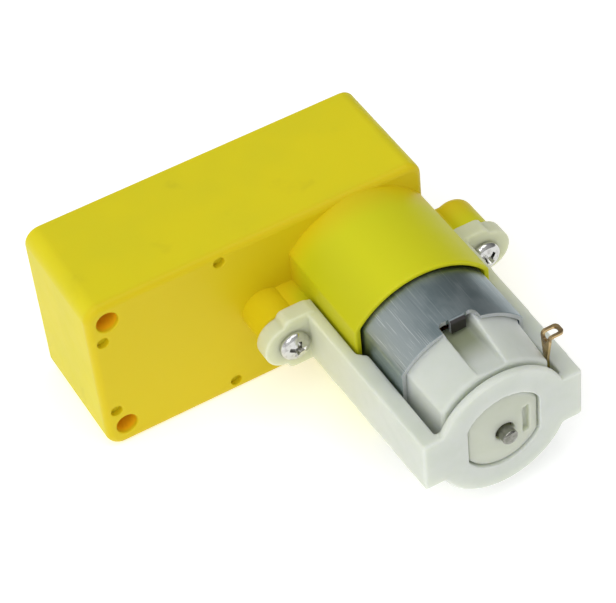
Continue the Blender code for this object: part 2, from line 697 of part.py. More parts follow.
def add_motor_can(assembly):
    """A drawn steel can with a bearing nose, two flats and bent tabs at its open rear."""
    outline = flatted_circle(CAN_RADIUS, CAN_HALF_WIDTH, CAN_CORNER, 16)
    shell = rounded_prism(outline, *CAN_Y, high=0.6 * MM)
    hollow = prism(inset_outline(outline, CAN_WALL), CAN_Y[0] - 1 * MM, CAN_Y[1] - CAN_WALL)
    nose = rod(NOSE_RADIUS, CAN_Y[1] - 0.4 * MM, NOSE_Y, MEDIUM)
    cut = [hollow, rod(BEARING_SEAT_RADII[0], CAN_Y[1] - 1 * MM, NOSE_Y - 0.4 * MM, MEDIUM),
           rod(1.6 * MM, CAN_Y[1] - 1 * MM, NOSE_Y + 1 * MM, SMALL)]
    for side in (-1, 1):
        cut += can_notches(side)
    part = assembly.add("motor_can", shell, "motor_steel", MOTOR_AXIS, joined=[nose], cut=cut)
    for side in (-1, 1):
        tab_y = CAN_Y[0] + TAB_SETBACK
        tab = block(-TAB_HALF_WIDTH, TAB_HALF_WIDTH, tab_y, tab_y + TAB_THICKNESS,
                    min(side * z for z in TAB_RADII), max(side * z for z in TAB_RADII))
        assembly.combine(part, tab, "UNION", f"can_tab_{side}")
    shade(part.data)


def can_notches(side):
    """The round notches beside a bent tab, and the part of the rim that the tab leaves."""
    z_low = min(side * 8 * MM, side * 11 * MM)
    z_high = max(side * 8 * MM, side * 11 * MM)
    tools = []
    for offset in (-NOTCH_OFFSET, NOTCH_OFFSET):
        top_y = CAN_Y[0] + NOTCH_DEPTH - NOTCH_RADIUS
        outline = arc(offset, top_y, NOTCH_RADIUS, 0.0, pi, 8)
        outline += [(offset - NOTCH_RADIUS, CAN_Y[0] - 1 * MM), (offset + NOTCH_RADIUS, CAN_Y[0] - 1 * MM)]
        tools.append(upright_prism(outline, z_low, z_high))
    tools.append(block(-NOTCH_OFFSET, NOTCH_OFFSET, CAN_Y[0] - 1 * MM, CAN_Y[0] + TAB_SETBACK,
                       z_low, z_high))
    return tools


def add_motor_end_bell(assembly):
    """The nylon end bell that closes the can and carries the brushes and the rear bearing."""
    plug = flatted_circle(*BELL_PLUG, BELL_CORNER, 16)
    rear = flatted_circle(*BELL_REAR, BELL_CORNER, 16)
    body = loft([(plug, CAN_Y[0] + 2.2 * MM), (plug, CAN_Y[0]), (rear, BELL_REAR_Y + 0.3 * MM),
                 (inset_outline(rear, 0.3 * MM), BELL_REAR_Y)])
    hub = flatted_circle(*BELL_HUB, 0.3 * MM, 16)
    boss = flatted_circle(*BELL_BOSS, 0.3 * MM, 16)
    joined = [prism(hub, BELL_HUB_Y, BELL_REAR_Y + 1 * MM),
              rounded_prism(boss, BELL_BOSS_Y, BELL_HUB_Y + 0.5 * MM, low=0.2 * MM, steps=2)]
    cavity = flatted_circle(7.6 * MM, 5.6 * MM, BELL_CORNER, 12)
    cut = [prism(cavity, BELL_REAR_Y + 2.4 * MM, CAN_Y[0] + 4 * MM),
           rod(BEARING_SEAT_RADII[1], BEARING_SEAT_Y, BELL_REAR_Y + 4 * MM, SMALL),
           rod(SHAFT_HOLE_RADIUS, BELL_BOSS_Y - 1 * MM, BEARING_SEAT_Y + 1 * MM, SMALL),
           block(2.4 * MM, 3.4 * MM, BELL_BOSS_Y - 1 * MM, BELL_BOSS_Y + 0.7 * MM, -1.8 * MM, 2.3 * MM)]
    for side in (-1, 1):
        cut.append(bell_groove(side))
        cut.append(block(min(side * 5.2 * MM, side * 8 * MM), max(side * 5.2 * MM, side * 8 * MM),
                         TERMINAL_Y[0] - 0.15 * MM, TERMINAL_Y[1] + 0.15 * MM,
                         min(side * 0.4 * MM, side * 1.2 * MM), max(side * 0.4 * MM, side * 1.2 * MM)))
    assembly.add("motor_end_bell", body, "natural_nylon", MOTOR_AXIS, joined=joined, cut=cut)


def bell_groove(side):
    """A tapered groove along the bell's round top or bottom, deepest beside the can."""
    deep = 8.1 * MM
    shallow = 8.9 * MM
    far = 11 * MM
    near_y = CAN_Y[0] + 3 * MM
    past_rear_y = BELL_REAR_Y - 0.5 * MM
    outline = [(near_y, deep), (CAN_Y[0] - 1.2 * MM, deep), (past_rear_y, shallow),
               (past_rear_y, far), (near_y, far)]
    bm = bmesh.new()
    faces = []
    for x in (-GROOVE_HALF_WIDTH, GROOVE_HALF_WIDTH):
        faces.append([bm.verts.new((x, y, side * z)) for y, z in outline])
    for i in range(len(outline)):
        j = (i + 1) % len(outline)
        bm.faces.new((faces[0][i], faces[0][j], faces[1][j], faces[1][i]))
    bm.faces.new(faces[0])
    bm.faces.new(faces[1])
    return outward(bm)


def add_terminals(assembly):
    """Solder tags that leave the bell's sides: the right one bends out over the bracket's arm,
    and the left one points straight down behind the other arm."""
    middle_y = (TERMINAL_Y[0] + TERMINAL_Y[1]) / 2
    leg_x = 7.6 * MM
    bent = [(6.3 * MM, 0.8 * MM), (leg_x, 0.8 * MM), (leg_x, 8.75 * MM), (9.6 * MM, 8.75 * MM)]
    straight = [(-6.3 * MM, -0.8 * MM), (-leg_x, -0.8 * MM), (-leg_x, -5.2 * MM)]
    eye = rounded_rectangle(leg_x - 0.4 * MM, leg_x + 1.55 * MM, middle_y - TERMINAL_EYE,
                            middle_y + TERMINAL_EYE, TERMINAL_EYE / 2, TERMINAL_EYE / 2, 2)
    right_eye = upright_prism(eye, 7.9 * MM, 9.5 * MM)
    left_eye = sideways_rod(TERMINAL_EYE, (middle_y, -4.3 * MM), -leg_x - 1 * MM, -leg_x + 1 * MM)
    for name, route, tool in (("terminal_left", straight, left_eye), ("terminal_right", bent, right_eye)):
        strip = prism(strip_outline(route, TERMINAL_THICKNESS), *TERMINAL_Y)
        assembly.add(name, strip, "copper", MOTOR_AXIS, cut=[tool])


def sideways_rod(radius, centre, x_low, x_high):
    """A rod along X whose centre is a (y, z) point."""
    bm = rod(radius, x_low, x_high, SMALL)
    for vertex in bm.verts:
        vertex.co = (vertex.co.y, centre[0] + vertex.co.x, centre[1] + vertex.co.z)
    return outward(bm)


def strip_outline(route, thickness):
    """The outline of a bent strip of constant thickness that follows a route."""
    upper = []
    lower = []
    for i, point in enumerate(route):
        before = route[max(i - 1, 0)]
        after = route[min(i + 1, len(route) - 1)]
        along = unit(after[0] - before[0], after[1] - before[1])
        offset = (-along[1] * thickness / 2, along[0] * thickness / 2)
        upper.append((point[0] + offset[0], point[1] + offset[1]))
        lower.append((point[0] - offset[0], point[1] - offset[1]))
    return lower + upper[::-1]


def add_brushes(assembly):
    """Copper leaves that press on the commutator from both sides."""
    leaf_y = (-25.6 * MM, -24.0 * MM)
    for side, name in ((-1, "brush_left"), (1, "brush_right")):
        route = [(5.0 * MM, -4.0 * MM), (2.6 * MM, -1.6 * MM), (2.15 * MM, 0.0), (2.4 * MM, 1.8 * MM)]
        outline = strip_outline([(side * x, side * z) for x, z in route], 0.2 * MM)
        assembly.add(name, prism(outline, *leaf_y), "copper", MOTOR_AXIS)


def add_magnets(assembly):
    outer = 9.45 * MM
    inner = 7.3 * MM
    half_span = radians(46)
    for name, middle in (("magnet_upper", pi / 2), ("magnet_lower", -pi / 2)):
        outline = arc(0, 0, outer, middle - half_span, middle + half_span, 16)
        outline += arc(0, 0, inner, middle + half_span, middle - half_span, 16)
        assembly.add(name, prism(outline, *MAGNET_Y), "ferrite", MOTOR_AXIS)


def add_bearings(assembly):
    front_y = (CAN_Y[1] - 0.7 * MM, NOSE_Y - 0.55 * MM)
    rear_y = (BEARING_SEAT_Y + 0.15 * MM, BEARING_SEAT_Y + 2.0 * MM)
    front = sleeve(BEARING_RADII[0], BORE_RADIUS, *front_y, SMALL)
    rear = sleeve(BEARING_RADII[1], BORE_RADIUS, *rear_y, SMALL)
    assembly.add("front_bearing", front, "bronze", MOTOR_AXIS)
    assembly.add("rear_bearing", rear, "bronze", MOTOR_AXIS)


# ---------------------------------------------------------------- rotor

def add_rotor(assembly):
    """Shaft, three-pole armature with its windings, commutator and pinion."""
    shaft = rod(SHAFT_RADIUS, *SHAFT_Y, SMALL, chamfer=0.2 * MM)
    assembly.add("rotor_shaft", shaft, "bright_steel", MOTOR_AXIS)
    core = rod(2.4 * MM, *ARMATURE_Y, MEDIUM)
    joined = [pole_solid(2 * pi * i / POLE_COUNT + pi / 2) for i in range(POLE_COUNT)]
    bore = [rod(1.1 * MM, ARMATURE_Y[0] - 1 * MM, ARMATURE_Y[1] + 1 * MM, SMALL)]
    assembly.add("armature_core", core, "core_steel", MOTOR_AXIS, joined=joined, cut=bore)
    for i in range(POLE_COUNT):
        add_coil(assembly, f"armature_coil_{i + 1}", 2 * pi * i / POLE_COUNT + pi / 2)
    commutator = turned([(1.1 * MM, -25.9 * MM), (1.9 * MM, -25.9 * MM), (1.9 * MM, -23.0 * MM),
                         (2.7 * MM, -23.0 * MM), (2.7 * MM, -22.0 * MM), (1.1 * MM, -22.0 * MM)], SMALL)
    assembly.add("commutator", commutator, "copper", MOTOR_AXIS)
    pinion = prism(gear_outline(STAGE_1[0], STAGE_1[1], PROFILE_SHIFT, 0.0), -1.6 * MM, 4.1 * MM)
    pinion_bore = rod(1.08 * MM, -3 * MM, 6 * MM, SMALL)
    assembly.add("motor_pinion", pinion, "bronze", MOTOR_AXIS, cut=[pinion_bore])


def spun(bm, angle):
    """Turn a solid about Y, from +X towards +Z."""
    for vertex in bm.verts:
        x = vertex.co.x
        z = vertex.co.z
        vertex.co.x = x * cos(angle) - z * sin(angle)
        vertex.co.z = x * sin(angle) + z * cos(angle)
    return bm


def pole_solid(angle):
    """One arm of the core, with its curved shoe, pointing along the angle."""
    half_arm = 1.1 * MM
    half_shoe = radians(48)
    shoe_inner = 6.0 * MM
    outline = [(1.5 * MM, -half_arm), (shoe_inner, -half_arm)]
    outline += arc(0, 0, shoe_inner, -radians(20), -half_shoe, 4)
    outline += arc(0, 0, ARMATURE_RADIUS, -half_shoe, half_shoe, 12)
    outline += arc(0, 0, shoe_inner, half_shoe, radians(20), 4)
    outline += [(shoe_inner, half_arm), (1.5 * MM, half_arm)]
    return spun(prism(outline, *ARMATURE_Y), angle)


def add_coil(assembly, name, angle):
    """A winding round one arm of the core: a rounded ring whose hole the arm fills."""
    inner_half_width = 1.25 * MM
    winding = 1.3 * MM
    reach = (2.75 * MM, 5.15 * MM)
    middle_y = (ARMATURE_Y[0] + ARMATURE_Y[1]) / 2
    half_length = (ARMATURE_Y[1] - ARMATURE_Y[0]) / 2 + 0.15 * MM
    inner = rectangle(-inner_half_width, inner_half_width, -half_length, half_length)
    outer = rounded_rectangle(-inner_half_width - winding, inner_half_width + winding,
                              -half_length - winding, half_length + winding, winding, winding, 4)
    ring = prism(outer, *reach)
    hole = prism(inner, reach[0] - 1 * MM, reach[1] + 1 * MM)
    for solid in (ring, hole):
        for vertex in solid.verts:
            vertex.co = (vertex.co.y, vertex.co.z + middle_y, vertex.co.x)
        outward(spun(solid, angle))
    assembly.add(name, ring, "enamelled_wire", MOTOR_AXIS, cut=[hole])


# ---------------------------------------------------------------- gear train

def add_axle_pins(assembly):
    for index, place in enumerate((FIRST_AXIS, SECOND_AXIS)):
        pin = rod(AXLE_RADIUS, 1.1 * MM, 15.3 * MM, SMALL, chamfer=0.15 * MM)
        assembly.add(f"axle_pin_{index + 1}", pin, "bright_steel", place)


def add_gears(assembly):
    """The two idler gears and the output wheel, each turned so that it meshes at rest."""
    first_turn = meshed_turn(MOTOR_AXIS, 0.0, STAGE_1[1], FIRST_AXIS, STAGE_1[2])
    second_turn = meshed_turn(FIRST_AXIS, 0.0, STAGE_2[1], SECOND_AXIS, STAGE_2[2])
    output_turn = meshed_turn(SECOND_AXIS, 0.0, STAGE_3[1], OUTPUT_AXIS, STAGE_3[2])
    add_double_gear(assembly, "first_gear", FIRST_AXIS, (STAGE_1, FIRST_WHEEL_Y, first_turn),
                    (STAGE_2, FIRST_PINION_END_Y))
    add_double_gear(assembly, "second_gear", SECOND_AXIS, (STAGE_2, SECOND_WHEEL_Y, second_turn),
                    (STAGE_3, SECOND_PINION_END_Y))
    wheel = prism(gear_outline(STAGE_3[0], STAGE_3[2], -PROFILE_SHIFT, output_turn), *OUTPUT_WHEEL_Y)
    hub = rod(3.5 * MM, *OUTPUT_HUB_Y, MEDIUM)
    clearance = 0.15 * MM
    bore_outline = flatted_circle(OUTPUT_RADIUS + clearance, OUTPUT_FLAT + clearance, 0.0, 10)
    bore = prism(bore_outline, OUTPUT_HUB_Y[0] - 1 * MM, OUTPUT_HUB_Y[1] + 1 * MM)
    assembly.add("output_gear", wheel, "gear_nylon", OUTPUT_AXIS, joined=[hub], cut=[bore])


def add_double_gear(assembly, name, place, wheel_data, pinion_data):
    """A wheel and a pinion moulded in one piece that runs on an axle pin."""
    stage, wheel_y, turn = wheel_data
    next_stage, end_y = pinion_data
    wheel = prism(gear_outline(stage[0], stage[2], -PROFILE_SHIFT, turn), *wheel_y)
    pinion = prism(gear_outline(next_stage[0], next_stage[1], PROFILE_SHIFT, 0.0),
                   wheel_y[1] - 0.3 * MM, end_y)
    bore = rod(AXLE_BORE_RADIUS, wheel_y[0] - 1 * MM, end_y + 1 * MM, SMALL)
    assembly.add(name, wheel, "gear_nylon", place, joined=[pinion], cut=[bore])


def add_output_shaft(assembly):
    """A turned shaft with double-D ends: one keys into the output wheel, one drives the load."""
    inner_end = 1.2 * MM
    hub_start = OUTPUT_HUB_Y[0] - 0.1 * MM
    round_part = (12.65 * MM, BOX_DEPTH + OUTPUT_COLLAR_HEIGHT + 0.3 * MM)
    chamfer = 0.4 * MM
    profile = [(0, inner_end), (OUTPUT_JOURNAL_RADIUS, inner_end), (OUTPUT_JOURNAL_RADIUS, hub_start),
               (OUTPUT_RADIUS, hub_start), (OUTPUT_RADIUS, OUTPUT_TIP_Y - chamfer),
               (OUTPUT_RADIUS - chamfer, OUTPUT_TIP_Y), (0, OUTPUT_TIP_Y)]
    cut = [rod(0.95 * MM, OUTPUT_TIP_Y - 6 * MM, OUTPUT_TIP_Y + 1 * MM, SMALL)]
    for y_low, y_high in ((hub_start - 0.5 * MM, round_part[0]), (round_part[1], OUTPUT_TIP_Y + 1 * MM)):
        cut.append(block(OUTPUT_FLAT, 4 * MM, y_low, y_high, -4 * MM, 4 * MM))
        cut.append(block(-4 * MM, -OUTPUT_FLAT, y_low, y_high, -4 * MM, 4 * MM))
    assembly.add("output_shaft", turned(profile, MEDIUM), "shaft_nylon", OUTPUT_AXIS, cut=cut)


def main():
    clear_scene()
    right_end = AXIS_X + EAR_OFFSET + EAR_RADIUS
    origin = (right_end / 2, (SHAFT_Y[0] + OUTPUT_TIP_Y) / 2, 0.0)
    assembly = Assembly(origin)
    add_gearbox_housing(assembly)
    add_gearbox_cover(assembly)
    add_cover_screws(assembly)
    add_motor_bracket(assembly)
    add_bracket_screws(assembly)
    add_motor_can(assembly)
    add_motor_end_bell(assembly)
    add_terminals(assembly)
    add_brushes(assembly)
    add_magnets(assembly)
    add_bearings(assembly)
    add_rotor(assembly)
    add_axle_pins(assembly)
    add_gears(assembly)
    add_output_shaft(assembly)


main()
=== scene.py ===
"""Looks of the geared DC motor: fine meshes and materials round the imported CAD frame.

Meshes are modelled in millimetres of the assembly frame, whose origin is the gearbox's left
bottom front corner: x runs along the gearbox, the motor points to -y and z is up. place() turns
them into the frame's metres. Sizes that the CAD states are read from its nodes' boxes.
"""

from math import acos, cos, hypot, pi, radians, sin, sqrt

import bmesh
import bpy
from mathutils import Matrix, Vector


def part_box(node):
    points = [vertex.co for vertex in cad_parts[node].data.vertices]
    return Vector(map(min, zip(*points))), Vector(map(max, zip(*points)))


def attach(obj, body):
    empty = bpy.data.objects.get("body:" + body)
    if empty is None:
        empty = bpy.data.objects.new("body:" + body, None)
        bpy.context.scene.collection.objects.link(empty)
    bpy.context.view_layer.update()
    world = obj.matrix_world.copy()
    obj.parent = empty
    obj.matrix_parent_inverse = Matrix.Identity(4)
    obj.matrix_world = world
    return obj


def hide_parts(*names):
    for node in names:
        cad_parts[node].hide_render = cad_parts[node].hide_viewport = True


MM = 0.001

# Gearbox
BOX_DEPTH = 16.4
COVER_INSET = 1.25
CORNER_LEFT = 2.1
CORNER_RIGHT = 2.0
FRONT_ROUND = 0.9
WALL = 1.7
FRONT_WALL = 1.8
RIM = 0.95
GAP = 0.3
BARREL_RADIUS = 11.25
BARREL_HALF_WIDTH = 9.15
BARREL_CORNER = 0.8
POCKET_RADIUS = 10.7
POCKET_HALF_WIDTH = 8.4
PARTITION_Y = (-6.4, -4.0)
CORE_RADIUS = 5.5
NOSE_HOLE_RADIUS = 3.4
BOSS_RADIUS = 2.9
BOSS_BACK_Y = 1.0
BOSS_DOME = 1.2
RIB_HALF_HEIGHT = 2.3
MOUNT_HOLE_X = 2.7
MOUNT_HOLE_OFFSET = 8.8
MOUNT_HOLE_RADIUS = 1.4
MOUNT_POST_RADIUS = 2.4
DIMPLES = ((1.7, 5.9), (17.5, 10.15))
DIMPLE_RADIUS = 0.75
DIMPLE_DEPTH = 0.8
SHANK_HOLE_RADIUS = 0.95
COUNTERBORE_RADIUS = 1.9
COUNTERBORE_DEPTH = 1.0
SCREW_POST_RADIUS = 1.75
SCREW_POST_FRONT_Y = 10.4
AXLE_BORE_RADIUS = 0.88
AXLE_BOSS_RADIUS = 1.7
SOCKET_Y = (0.9, 6.0)
JOURNAL_SOCKET_RADIUS = 2.05
COLLAR_RADIUS = 4.2
COLLAR_ROUND = 0.2
COLLAR_BORE_RADIUS = 2.85
COVER_INNER_Y = 13.3
PAST_COVER = (12.0, 18.0)

# Output shaft
OUTPUT_RADIUS = 2.7
OUTPUT_FLAT = 1.85
OUTPUT_JOURNAL_RADIUS = 1.9
OUTPUT_HUB_Y = 3.9
OUTPUT_ROUND_Y = 12.65
OUTPUT_SCREW_HOLE_RADIUS = 0.95
OUTPUT_SCREW_HOLE_DEPTH = 6.0

# Screws: head radius, head height and shank length
BRACKET_SCREW = (2.0, 1.3, 6.2)
COVER_SCREW = (1.6, 0.8, 4.8)

# Bracket
EAR_RADIUS = 3.0
EAR_OFFSET = 14.0
EAR_BLOCK_X = (9.7, 14.2)
EAR_HALF_HEIGHT = 3.9
ARM_HALF_HEIGHT = 3.6
ARM_OUTER_EAR = 11.1
ARM_OUTER_PLATE = 10.6
ARM_INNER_PLATE = 8.4
EAR_THICKNESS = 2.3
EAR_CORNER = 0.9
EAR_HOLE_RADIUS = 1.0
PLATE_THICKNESS = 1.2
STRAP_CORNER = 0.35
PLATE_RADIUS = 8.8
PLATE_HOLE_RADIUS = 5.45
PLATE_HOLE_HALF_WIDTH = 4.8
BRACKET_VOXEL = 0.15

# Motor
CAN_RADIUS = 10.4
CAN_HALF_WIDTH = 8.15
CAN_CORNER = 0.8
CAN_WALL = 0.6
NOSE_RADIUS = 3.05
NOSE_CAVITY_RADIUS = 2.4
NOSE_BORE_RADIUS = 1.6
NOTCH_RADIUS = 0.75
NOTCH_OFFSET = 1.75
NOTCH_DEPTH = 1.35
TAB_HALF_WIDTH = 1.0
TAB_SETBACK = 0.7
TAB_BEND = 0.52
TAB_THICKNESS = 0.5
TAB_END = 8.5
BELL_PLUG = (9.76, 7.51)
BELL_MOUTH = (9.6, 7.35)
BELL_REAR = (9.1, 7.05)
BELL_HOLLOW = (7.6, 5.6)
BELL_CORNER = 0.7
BELL_VOXEL = 0.13
BELL_BOSS = (5.25, 4.6)
BELL_CROWN = ((0.36, 0.0), (0.50, 0.05), (0.75, 0.25), (0.97, 0.50), (1.0, 0.58))
BELL_FACE_Y = -32.6
BELL_SHAFT_HOLE_RADIUS = 1.25
BEARING_SEAT_RADIUS = 2.15
BEARING_SEAT_Y = -31.65
SLOT_X = (2.4, 3.4)
SLOT_Z = (-1.8, 2.3)
SLOT_DEPTH = 0.9
TAG_THICKNESS = 0.35
TAG_LEG_X = 7.6
TAG_TOP_Z = 8.75
TAG_ROOT = (6.3, 0.8)
TAG_BEND_RADIUS = 0.45
TAG_TIP_RADIUS = 0.55
TAG_NECK = 0.8
TAG_EYE_HALF_WIDTH = 0.48
LEFT_TAG_END_Z = -5.2
LEFT_TAG_EYE_Z = -4.3
LEFT_TAG_EYE_RADIUS = 0.5

# Camera and stage
TARGET = (0.89, 2.05, 11.85)
CAMERA_DISTANCE = 298.5
CAMERA_HEADING = radians(25.11)
CAMERA_ELEVATION = radians(45.75)
CAMERA_ROLL = radians(6.50)
CAMERA_LENS = 145.84
SENSOR_WIDTH = 36.0

BODY = "gearmotor_body"
SMOOTHING_PASSES = 5
CAN_SHARP_ANGLE = 12
NYLON_SHARP_ANGLE = 60

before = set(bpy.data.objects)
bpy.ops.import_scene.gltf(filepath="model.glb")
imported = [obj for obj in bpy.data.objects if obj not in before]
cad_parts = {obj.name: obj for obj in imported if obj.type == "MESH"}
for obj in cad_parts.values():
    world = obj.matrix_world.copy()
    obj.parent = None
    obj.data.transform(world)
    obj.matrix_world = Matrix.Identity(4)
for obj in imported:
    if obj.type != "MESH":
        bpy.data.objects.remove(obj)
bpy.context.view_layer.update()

housing_low, housing_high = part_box("gearbox_housing")
ORIGIN = Vector((housing_low.x, housing_high.y - BOX_DEPTH * MM, housing_low.z))


def span(node):
    """A CAD node's (low, high) pairs along x, y and z, in millimetres of the assembly frame."""
    low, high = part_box(node)
    return [((low[i] - ORIGIN[i]) / MM, (high[i] - ORIGIN[i]) / MM) for i in range(3)]


def middle(pair):
    return (pair[0] + pair[1]) / 2


def node_axis(node):
    """The (x, z) centre of a node that is round about a line along y."""
    extent = span(node)
    return middle(extent[0]), middle(extent[2])


BOX_HEIGHT = (housing_high.z - housing_low.z) / MM
BOX_LENGTH = span("gearbox_cover")[0][1] + COVER_INSET
LEDGE_Y = span("gearbox_cover")[1][0]
MOTOR_AXIS = node_axis("rotor_shaft")
OUTPUT_AXIS = node_axis("output_shaft")
AXLES = [node_axis("axle_pin_1"), node_axis("axle_pin_2")]
AXIS_X, AXIS_Z = MOTOR_AXIS
BARREL_LIP_Y = span("gearbox_housing")[1][0]
BRACKET_Y = span("motor_bracket")[1]
PLATE_Y = (BRACKET_Y[0], BRACKET_Y[0] + PLATE_THICKNESS)
EAR_Y = (BRACKET_Y[1] - EAR_THICKNESS, BRACKET_Y[1])
CAN_Y = (span("motor_can")[1][0], PARTITION_Y[0] - GAP)
NOSE_Y = span("motor_can")[1][1]
TAB_FACE_Y = CAN_Y[0] + TAB_SETBACK
BELL_REAR_Y = PLATE_Y[1] + GAP
SCREW_OFFSET = node_axis("bracket_screw_right")[0] - AXIS_X
COVER_SCREWS = [node_axis(f"cover_screw_{i}") for i in (1, 2, 3, 4)]
MOUNT_HOLES = [(MOUNT_HOLE_X, AXIS_Z + side * MOUNT_HOLE_OFFSET) for side in (1, -1)]


# ---- outlines, (x, z) points

def arc(centre_x, centre_z, radius, start, end, steps):
    angles = [start + (end - start) * i / steps for i in range(steps + 1)]
    return [(centre_x + radius * cos(a), centre_z + radius * sin(a)) for a in angles]


def circle(radius, segments=64, centre=(0.0, 0.0)):
    return arc(centre[0], centre[1], radius, 0.0, 2 * pi, segments)[:-1]


def rectangle(x_low, x_high, z_low, z_high):
    return [(x_low, z_low), (x_high, z_low), (x_high, z_high), (x_low, z_high)]


def rounded_rectangle(x_low, x_high, z_low, z_high, left, right, steps=10):
    quarter = pi / 2
    points = arc(x_high - right, z_low + right, right, -quarter, 0.0, steps)
    points += arc(x_high - right, z_high - right, right, 0.0, quarter, steps)
    points += arc(x_low + left, z_high - left, left, quarter, pi, steps)
    points += arc(x_low + left, z_low + left, left, pi, 3 * quarter, steps)
    return points


def box_outline(inset):
    return rounded_rectangle(
        inset, BOX_LENGTH - inset, inset, BOX_HEIGHT - inset,
        max(CORNER_LEFT - inset, 0.4), max(CORNER_RIGHT - inset, 0.4))


def flatted_circle(radius, half_width, corner, steps=44):
    """A circle cut by two upright flats, with its four corners rounded."""
    centre_x = half_width - corner
    centre_z = sqrt((radius - corner) ** 2 - centre_x ** 2)
    bearing = acos(centre_x / (radius - corner))
    upper = arc(centre_x, centre_z, corner, 0, bearing, 8)
    upper += arc(0, 0, radius, bearing, pi - bearing, steps)[1:-1]
    upper += arc(-centre_x, centre_z, corner, pi - bearing, pi, 8)
    return upper + [(-x, -z) for x, z in upper]


def unit(x, z):
    length = hypot(x, z)
    return x / length, z / length


def inset_outline(outline, distance):
    """The outline moved inwards by a distance, corner by corner. It runs anticlockwise."""
    moved = []
    for before, here, after in zip(outline[-1:] + outline, outline, outline[1:] + outline[:1]):
        first = unit(here[0] - before[0], here[1] - before[1])
        second = unit(after[0] - here[0], after[1] - here[1])
        normal = (-first[1] - second[1], first[0] + second[0])
        scale = 2 * distance / (normal[0] ** 2 + normal[1] ** 2)
        moved.append((here[0] + normal[0] * scale, here[1] + normal[1] * scale))
    return moved


def rounded_route(points, radius, steps=6):
    """A polyline whose inner corners are replaced by arcs of a radius, as far as they fit."""
    route = [Vector(points[0])]
    for before, here, after in zip(points, points[1:], points[2:]):
        here = Vector(here)
        back = Vector(before) - here
        ahead = Vector(after) - here
        reach = min(radius, back.length * 0.49, ahead.length * 0.49)
        start = here + back.normalized() * reach
        end = here + ahead.normalized() * reach
        for step in range(steps + 1):
            t = step / steps
            route.append(start * (1 - t) ** 2 + here * 2 * t * (1 - t) + end * t ** 2)
    route.append(Vector(points[-1]))
    return route


# ---- solids

def outward(bm):
    """Make all faces of a closed solid point outwards."""
    bm.normal_update()
    bmesh.ops.recalc_face_normals(bm, faces=bm.faces)
    if bm.calc_volume(signed=True) < 0:
        bmesh.ops.reverse_faces(bm, faces=bm.faces)
    return bm


def loft(sections):
    """A closed solid through outlines of equal point count, given as (outline, y) pairs."""
    bm = bmesh.new()
    rings = [[bm.verts.new((x, y, z)) for x, z in outline] for outline, y in sections]
    count = len(rings[0])
    for ring, following in zip(rings, rings[1:]):
        for i in range(count):
            j = (i + 1) % count
            bm.faces.new((ring[i], ring[j], following[j], following[i]))
    bm.faces.new(rings[0])
    bm.faces.new(rings[-1])
    return outward(bm)


def prism(outline, y_low, y_high):
    return loft([(outline, y_low), (outline, y_high)])


def rounded_end(outline, y, radius, steps=6, inward=1):
    """The sections of a prism's end at y, from the end inwards, with its edge rounded."""
    if not radius:
        return [(outline, y)]
    angles = [step * pi / (2 * steps) for step in range(steps + 1)]
    return [(inset_outline(outline, radius * (1 - sin(a))), y + inward * radius * (1 - cos(a)))
            for a in angles]


def rounded_prism(outline, y_low, y_high, low=0.0, high=0.0, steps=6):
    """A prism whose end edges are rounded by the radii low and high."""
    rear = rounded_end(outline, y_high, high, steps, -1)
    return loft(rounded_end(outline, y_low, low, steps) + rear[::-1])


def flared_cutter(outline, mouth_y, end_y, flare, steps=5):
    """A cutter that goes from mouth_y to end_y and rounds off the edge of its mouth."""
    inward = 1 if end_y > mouth_y else -1
    sections = [(inset_outline(outline, -flare * 1.05), mouth_y - inward)]
    for step in range(steps + 1):
        angle = radians(84) * (1 - step / steps)
        outset = flare * (1 - cos(angle))
        depth = inward * flare * (1 - sin(angle))
        sections.append((inset_outline(outline, -outset), mouth_y + depth))
    sections.append((outline, end_y))
    return loft(sections)


def turned(profile, segments=64):
    """A solid turned about y. Its profile is a closed loop of (radius, y) points."""
    bm = bmesh.new()
    turns = [2 * pi * i / segments for i in range(segments)]
    rings = []
    for radius, y in profile:
        if radius == 0:
            rings.append([bm.verts.new((0, y, 0))])
        else:
            rings.append([bm.verts.new((radius * cos(t), y, radius * sin(t))) for t in turns])
    for ring, following in zip(rings, rings[1:] + rings[:1]):
        if len(ring) == 1 and len(following) == 1:
            continue
        for i in range(segments):
            j = (i + 1) % segments
            corners = [ring[i % len(ring)], ring[j % len(ring)],
                       following[j % len(following)], following[i % len(following)]]
            bm.faces.new(list(dict.fromkeys(corners)))
    return outward(bm)


def rod(radius, y_low, y_high, segments=64):
    return prism(circle(radius, segments), y_low, y_high)


def block(x_low, x_high, y_low, y_high, z_low, z_high):
    return prism(rectangle(x_low, x_high, z_low, z_high), y_low, y_high)


def upright(outline, z_low, z_high):
    """A prism along z whose outline is a list of (x, y) points."""
    bm = prism(outline, z_low, z_high)
    for vertex in bm.verts:
        vertex.co.yz = (vertex.co.z, vertex.co.y)
    return outward(bm)


def sideways(outline, x_low, x_high):
    """A prism along x whose outline is a list of (y, z) points."""
    bm = prism(outline, x_low, x_high)
    for vertex in bm.verts:
        vertex.co.xy = (vertex.co.y, vertex.co.x)
    return outward(bm)


def shifted(bm, x=0.0, y=0.0, z=0.0):
    bmesh.ops.translate(bm, verts=bm.verts, vec=(x, y, z))
    return bm


def at(centre, bm):
    return shifted(bm, centre[0], 0.0, centre[1])


def ordered(a, b):
    return (a, b) if a < b else (b, a)


# ---- pieces

def linked(name, data):
    made = bpy.data.objects.new(name, data)
    bpy.context.scene.collection.objects.link(made)
    return made


def new_object(name, bm):
    mesh = bpy.data.meshes.new(name)
    bm.to_mesh(mesh)
    bm.free()
    return linked(name, mesh)


def combine(piece, bm, operation):
    """Unite a solid with a piece, or cut it away, and keep the result as the piece's mesh."""
    tool = new_object("tool", bm)
    modifier = piece.modifiers.new("combine", "BOOLEAN")
    modifier.operation = operation
    modifier.object = tool
    apply_modifiers(piece)
    bpy.data.objects.remove(tool, do_unlink=True)


